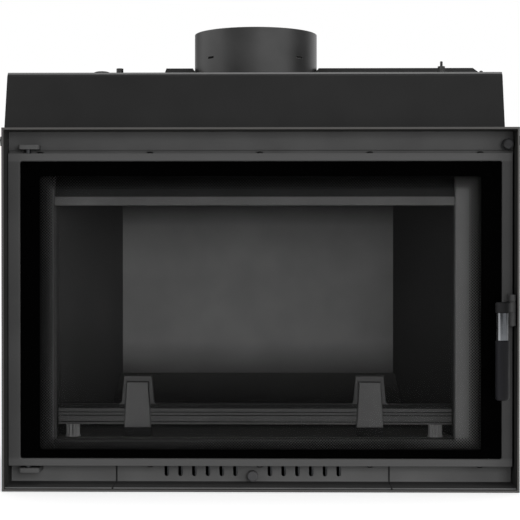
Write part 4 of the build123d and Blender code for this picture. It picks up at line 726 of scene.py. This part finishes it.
# %% Threaded stud
low, high = size_mm("top_stud")
centre = (low + high) / 2
stud_r, pitch, ridge, chamfer = (high.x - low.x) / 2, 0.8, 0.28, 0.6
rows, sides = int((high.z - low.z) / pitch * 5), 20
verts = []
for row in range(rows + 1):
    rise = (high.z - low.z) * row / rows
    for k in range(sides):
        turn = (rise / pitch - k / sides) % 1.0
        radius = stud_r - ridge * abs(2 * turn - 1) - max(0.0, rise - (high.z - low.z) + chamfer)
        angle = 2 * math.pi * k / sides
        verts.append((centre.x + radius * math.cos(angle), centre.y + radius * math.sin(angle), low.z + rise))
finished_piece("top_stud_threaded", verts, skin(rows, sides), PAINTS["zinc_steel"], "insert",
               "zinc_steel", ["top_stud"], 60.0)
print("thread turns:", round((high.z - low.z) / pitch))

# %% [markdown]
# The lower edge of the upper face plate is folded back, so the gap over the door shows paint and
# not the dark space behind. The fold is a thin strip with a rounded nose that fills the gap
# down to half a millimetre over the door.

# %% Folded edge of the upper plate
low, high = size_mm("upper_face_plate")
door_top = size_mm("door_frame")[1].z
DOOR_ROOM, SIDE_ROOM, NOSE_R = 0.5, 0.2, 0.7
face_y, back_y, fold_z = low.y + 0.9, low.y + 2.6, door_top + DOOR_ROOM
fold = rounded([(face_y, low.z), (face_y, fold_z), (back_y, fold_z), (back_y, low.z)], NOSE_R)
verts = [(x, p.x, p.y) for x in (low.x + SIDE_ROOM, high.x - SIDE_ROOM) for p in fold]
finished_piece("upper_plate_folded_edge", verts, skin(1, len(fold)), PAINTS["fascia_paint"], "insert",
               "fascia_paint")
print("fold over the door:", round(low.z - fold_z, 1), "mm high")

# %% [markdown]
# The log guard stands on two fluted iron feet. Round the foot the radius swells and sinks ten
# times, like a small column, and the base flares out so that it doesn't mark the hearth.

# %% Fluted feet of the log guard
low, high = size_mm("guard_feet")
base_r, groove_r, flute_r, flutes, flare_share = 11.5, 7.0, 3.0, 10, 0.28
sides, rows = 80, 14
feet = []
for x in (low.x + base_r, high.x - base_r):
    verts = []
    for row in range(rows + 1):
        rise = row / rows
        flare = max(0.0, 1 - rise / flare_share) ** 2
        for k in range(sides):
            angle = 2 * math.pi * k / sides
            column = groove_r + flute_r * abs(math.cos(angle * flutes / 2)) ** 1.6
            radius = column * (1 - flare) + base_r * flare
            verts.append((x + radius * math.cos(angle), (low.y + high.y) / 2 + radius * math.sin(angle),
                          low.z + (high.z - low.z) * rise))
    feet.append((verts, skin(rows, sides)))
finished_piece("guard_feet_fluted", *joined(feet), bright_feet, "insert", "guard_iron", ["guard_feet"], 60.0)
print("flutes round each foot:", flutes)

# %% [markdown]
# The rope seal runs in a groove round the back of the door and turns its corners in a small
# curve. A round section is carried along that path. The knitted cover is squeezed by the yarn,
# so the radius rises and falls in two crossed spirals, which gives the plaited look.

# %% Plaited rope seal
low, high = size_mm("door_rope_seal")
rope_r = (high.y - low.y) / 2
STEP_MM, LAY_MM, BEND_MM, SQUEEZED, PLAIT = 2.2, 9.0, 14.0, 0.55, 0.5
left, right, foot, head_z = low.x + rope_r, high.x - rope_r, low.z + rope_r, high.z - rope_r
loop = rounded([(left, foot), (right, foot), (right, head_z), (left, head_z)], BEND_MM, 6, closed=True)
path = []
for i, point in enumerate(loop):
    nxt = loop[(i + 1) % len(loop)]
    count = max(1, round((nxt - point).length / STEP_MM))
    path += [point.lerp(nxt, k / count) for k in range(count)]
verts, sides = [], 14
lay = round(2 * (right - left + head_z - foot) / LAY_MM)
for i, point in enumerate(path):
    ahead = (path[(i + 1) % len(path)] - path[i - 1]).normalized()
    out = Vector((ahead.y, -ahead.x))
    phase = 2 * math.pi * lay * i / len(path)
    for k in range(sides):
        angle = 2 * math.pi * k / sides
        plait = max(math.sin(3 * angle + phase), math.sin(3 * angle - phase))
        radius = rope_r - SQUEEZED + PLAIT * plait
        aside, back = radius * math.cos(angle), radius * math.sin(angle)
        verts.append((point.x + out.x * aside, (low.y + high.y) / 2 + back, point.y + out.y * aside))
count = len(path)
# The last ring of points is the first one again, and the rope has no caps.
faces = [tuple(i % len(verts) for i in face) for face in skin(count, sides)[:-2]]
finished_piece("door_rope_plaited", verts, faces, PAINTS["seal_fibre"], "door", "seal_fibre",
               ["door_rope_seal"], 80.0)
print("rope turns round the door with", count, "steps and", lay, "lays")

# %% [markdown]
# The printed border lies on the glass. It is one thin ring from under the door frame's edge to
# the line where the dots begin. It lies about a tenth of a millimetre in front of the glass, so
# that the two faces don't show through each other.

# %% Printed border
glass_low, glass_high = size_mm("door_glass")
PRINT_Y = glass_low.y - 0.12
SHEET = 0.05
SIDE_LAP, RAIL_LAP = 5.2, 3.2
edge_out = (glass_low.x + SIDE_LAP, glass_high.x - SIDE_LAP, glass_low.z + RAIL_LAP, glass_high.z - RAIL_LAP)
dots_out = (-307.4, 306.2, 53.8, 434.5)
dots_in_x = -290.0


def ring_line(box, radius, steps=6):
    x0, x1, z0, z1 = box
    return rounded([(x0, z0), (x1, z0), (x1, z1), (x0, z1)], radius, steps, closed=True)


outer, inner = ring_line(edge_out, 3.0), ring_line(dots_out, 5.0)
count = len(outer)
verts = [(p.x, y, p.y) for y in (PRINT_Y - SHEET, PRINT_Y + SHEET) for line in (outer, inner) for p in line]
faces = []
for k in range(count):
    n = (k + 1) % count
    faces += [(k, n, count + n, count + k), (3 * count + k, 3 * count + n, 2 * count + n, 2 * count + k),
              (count + k, count + n, 3 * count + n, 3 * count + k), (2 * count + k, 2 * count + n, n, k)]
finished_piece("window_print_border", verts, faces, enamel, "door", "door_glass", (), 30.0)
print("border line points:", count)

# %% [markdown]
# The dots are set in staggered rows 2 mm apart, and each one is smaller the nearer it lies to the
# clear glass. The real ones are finer, and these are as fine as the picture can show. They are
# flat six-sided spots of ink and not a pattern in the glass, so they stay sharp in an export.

# %% Printed dots
DOT_PITCH = 4.0
# The radius of a dot is a share of the pitch. It shrinks evenly, and faster near the clear glass.
LARGEST, EVENLY, FASTER = 0.365, 0.08, 0.11
verts, faces = [], []
band = dots_in_x - dots_out[0]
columns = int((dots_out[1] - dots_out[0]) / DOT_PITCH)
rows = int(2 * (dots_out[3] - dots_out[2]) / DOT_PITCH)
for j in range(rows + 1):
    for i in range(columns + 1 - j % 2):
        x, z = dots_out[0] + (i + 0.5 * (j % 2)) * DOT_PITCH, dots_out[2] + j * DOT_PITCH / 2
        inset = min(x - dots_out[0], dots_out[1] - x, z - dots_out[2], dots_out[3] - z)
        if inset > band:
            continue
        t = inset / band
        dot_r = DOT_PITCH * (LARGEST - EVENLY * t - FASTER * t ** 4)
        start = len(verts)
        for k in range(6):
            angle = math.pi * k / 3
            verts.append((x + dot_r * math.cos(angle), PRINT_Y - SHEET, z + dot_r * math.sin(angle)))
        faces.append(tuple(range(start + 5, start - 1, -1)))
finished_piece("window_print_dots", verts, faces, enamel, "door", "door_glass")
print("dots:", len(faces))

# %% [markdown]
# The object stands on a plain pale floor. It takes the object's shadow, and from one metre out it
# fades into the white of the room. What the camera and the glass see of it is lifted a little by
# a glow of its own, which sheds no light on the object.

# %% Floor
FLOOR_WIDTH, FLOOR_Z = 16.0, -0.5 * MM
bpy.ops.mesh.primitive_grid_add(x_subdivisions=2, y_subdivisions=2, size=FLOOR_WIDTH,
                                location=(0, 0, FLOOR_Z))
floor = bpy.context.object
floor.name = "studio_floor"
ground_paint = bpy.data.materials.new("pale_studio_floor")
ground_paint.use_nodes = True
ground_paint.node_tree.nodes.clear()
FADE_FROM, FADE_TO, FLOOR_GLOW = 1.0, 2.6, 0.30
reach = put(ground_paint, "VectorMath", {"operation": "LENGTH"},
            in_0=put(ground_paint, "TexCoord").outputs["Object"])
far = put(ground_paint, "MapRange", in_0=reach, in_1=FADE_FROM, in_2=FADE_TO, in_3=0.0, in_4=1.0)
pale = put(ground_paint, "Mix", COLOUR, in_0=far, in_6=shade("#f4f4f4"), in_7=shade("#000000"))
matt = put(ground_paint, "BsdfDiffuse", in_Color=pale)
rays = put(ground_paint, "LightPath").outputs
seen = put(ground_paint, "Math", LARGER, in_0=rays["Is Camera Ray"], in_1=rays["Is Glossy Ray"])
seen = put(ground_paint, "Math", LARGER, in_0=seen, in_1=rays["Is Transmission Ray"])
shown = put(ground_paint, "MapRange", in_0=far, in_1=0.0, in_2=1.0, in_3=FLOOR_GLOW, in_4=1.0)
lift = put(ground_paint, "Math", TIMES, in_0=seen, in_1=shown)
lit = put(ground_paint, "Emission", in_Color=shade("#ffffff"), in_Strength=lift)
put(ground_paint, "OutputMaterial", in_Surface=put(ground_paint, "AddShader", in_0=matt, in_1=lit))
floor.data.materials.append(ground_paint)
print("floor is", round(floor.dimensions.x), "m wide")

# %% [markdown]
# The white behind the object comes from the world. What the camera sees of it, or sees through
# glass, is white, while the light that it sheds is softer. A gloss reflects a studio: a pale panel
# on each side, with darker gaps between them. The gaps give the round collar and the grip their
# dark bands, as in the picture. The panels are a ramp of greys round the horizon.

# %% White room with its panels
ROOM_LIGHT = 0.40
PANEL_LEVELS = [(-180, 0.9), (-140, 0.15), (-115, 0.85), (-68, 0.85), (-52, 0.22), (-28, 0.08), (0, 0.42),
                (15, 0.85), (60, 0.85), (84, 0.08), (106, 0.08), (135, 0.75), (180, 0.9)]
room = bpy.data.worlds.new("white_room")
bpy.context.scene.world = room
room.use_nodes = True
room.node_tree.nodes.clear()
rays = put(room, "LightPath").outputs
toward = put(room, "SeparateXYZ", in_0=put(room, "TexCoord").outputs["Generated"]).outputs
ahead = put(room, "Math", TIMES, in_0=toward["Y"], in_1=-1.0)
bearing = put(room, "Math", {"operation": "ARCTAN2"}, in_0=toward["X"], in_1=ahead)
share = put(room, "MapRange", in_0=bearing, in_1=-math.pi, in_2=math.pi, in_3=0.0, in_4=1.0)
panels = put(room, "ValToRGB", in_0=share)
stops = panels.color_ramp.elements
while len(stops) < len(PANEL_LEVELS):
    stops.new(0.5)
for stop, (degrees, level) in zip(stops, PANEL_LEVELS):
    stop.position = degrees / 360 + 0.5
    stop.color = (level, level, level, 1.0)
mirrored = put(room, "Math", TIMES, in_0=rays["Is Glossy Ray"], in_1=panels)
seen = put(room, "Math", LARGER, in_0=rays["Is Camera Ray"], in_1=rays["Is Transmission Ray"])
seen = put(room, "Math", LARGER, in_0=seen, in_1=mirrored)
shed = put(room, "Math", TIMES, in_0=rays["Is Diffuse Ray"], in_1=ROOM_LIGHT)
level = put(room, "Math", LARGER, in_0=seen, in_1=shed)
put(room, "OutputWorld", in_Surface=put(room, "Background", in_Color=shade("#ffffff"), in_Strength=level))
print("room light on the object:", ROOM_LIGHT, "seen as 1.0")

# %% [markdown]
# Four broad lamps stand where a photographer would put soft boxes: a low one in front that
# reaches under the edges and into the fire chamber, one on each side, and one above. Broad lamps
# give the soft edges of shadow that a studio picture has. Each one is aimed at the middle of the
# object. What a gloss shows is the panels above, so the lamps themselves are kept out of
# reflections, or the window would show a bright square.

# %% Soft lamps
MIDDLE_OF_OBJECT = Vector((0.0, 0.0, 0.3))


def soft_box(name, place, width, watts):
    lamp = bpy.data.lights.new(name, "AREA")
    lamp.shape = "SQUARE"
    lamp.size = width
    lamp.energy = watts
    box = bpy.data.objects.new(name, lamp)
    bpy.context.collection.objects.link(box)
    box.location = place
    box.visible_glossy = False
    box.rotation_euler = (MIDDLE_OF_OBJECT - Vector(place)).to_track_quat("-Z", "Y").to_euler()


soft_box("front_soft_box", (0.7, -3.3, 0.7), 1.4, 56.0)
soft_box("left_soft_box", (-2.4, -1.9, 1.3), 1.6, 18.0)
soft_box("right_soft_box", (2.4, -2.0, 1.0), 1.6, 34.0)
soft_box("top_soft_box", (0.0, -0.2, 2.8), 1.8, 26.0)

# %% [markdown]
# The picture was taken two metres in front of the surround, a little to the right of its middle
# and level with the window, with a long lens. The lens follows from the size of the object in
# the picture: 1453 pixels of focal length in a frame of 520 pixels.

# %% Camera
FOCAL_PX, FRAME_PX, SENSOR = 1453.0, 520.0, 36.0
camera_data = bpy.data.cameras.new("front_camera")
camera_data.sensor_width = SENSOR
camera_data.lens = SENSOR * FOCAL_PX / FRAME_PX
camera = bpy.data.objects.new("front_camera", camera_data)
bpy.context.collection.objects.link(camera)
camera.location = (0.0295, -2.1493, 0.334)
aim = Vector((0.0, -0.1603, 0.3182))
camera.rotation_euler = (aim - camera.location).to_track_quat("-Z", "Y").to_euler()
bpy.context.scene.camera = camera
bpy.context.scene.view_settings.view_transform = "Standard"
print("lens:", round(camera_data.lens, 1), "mm")
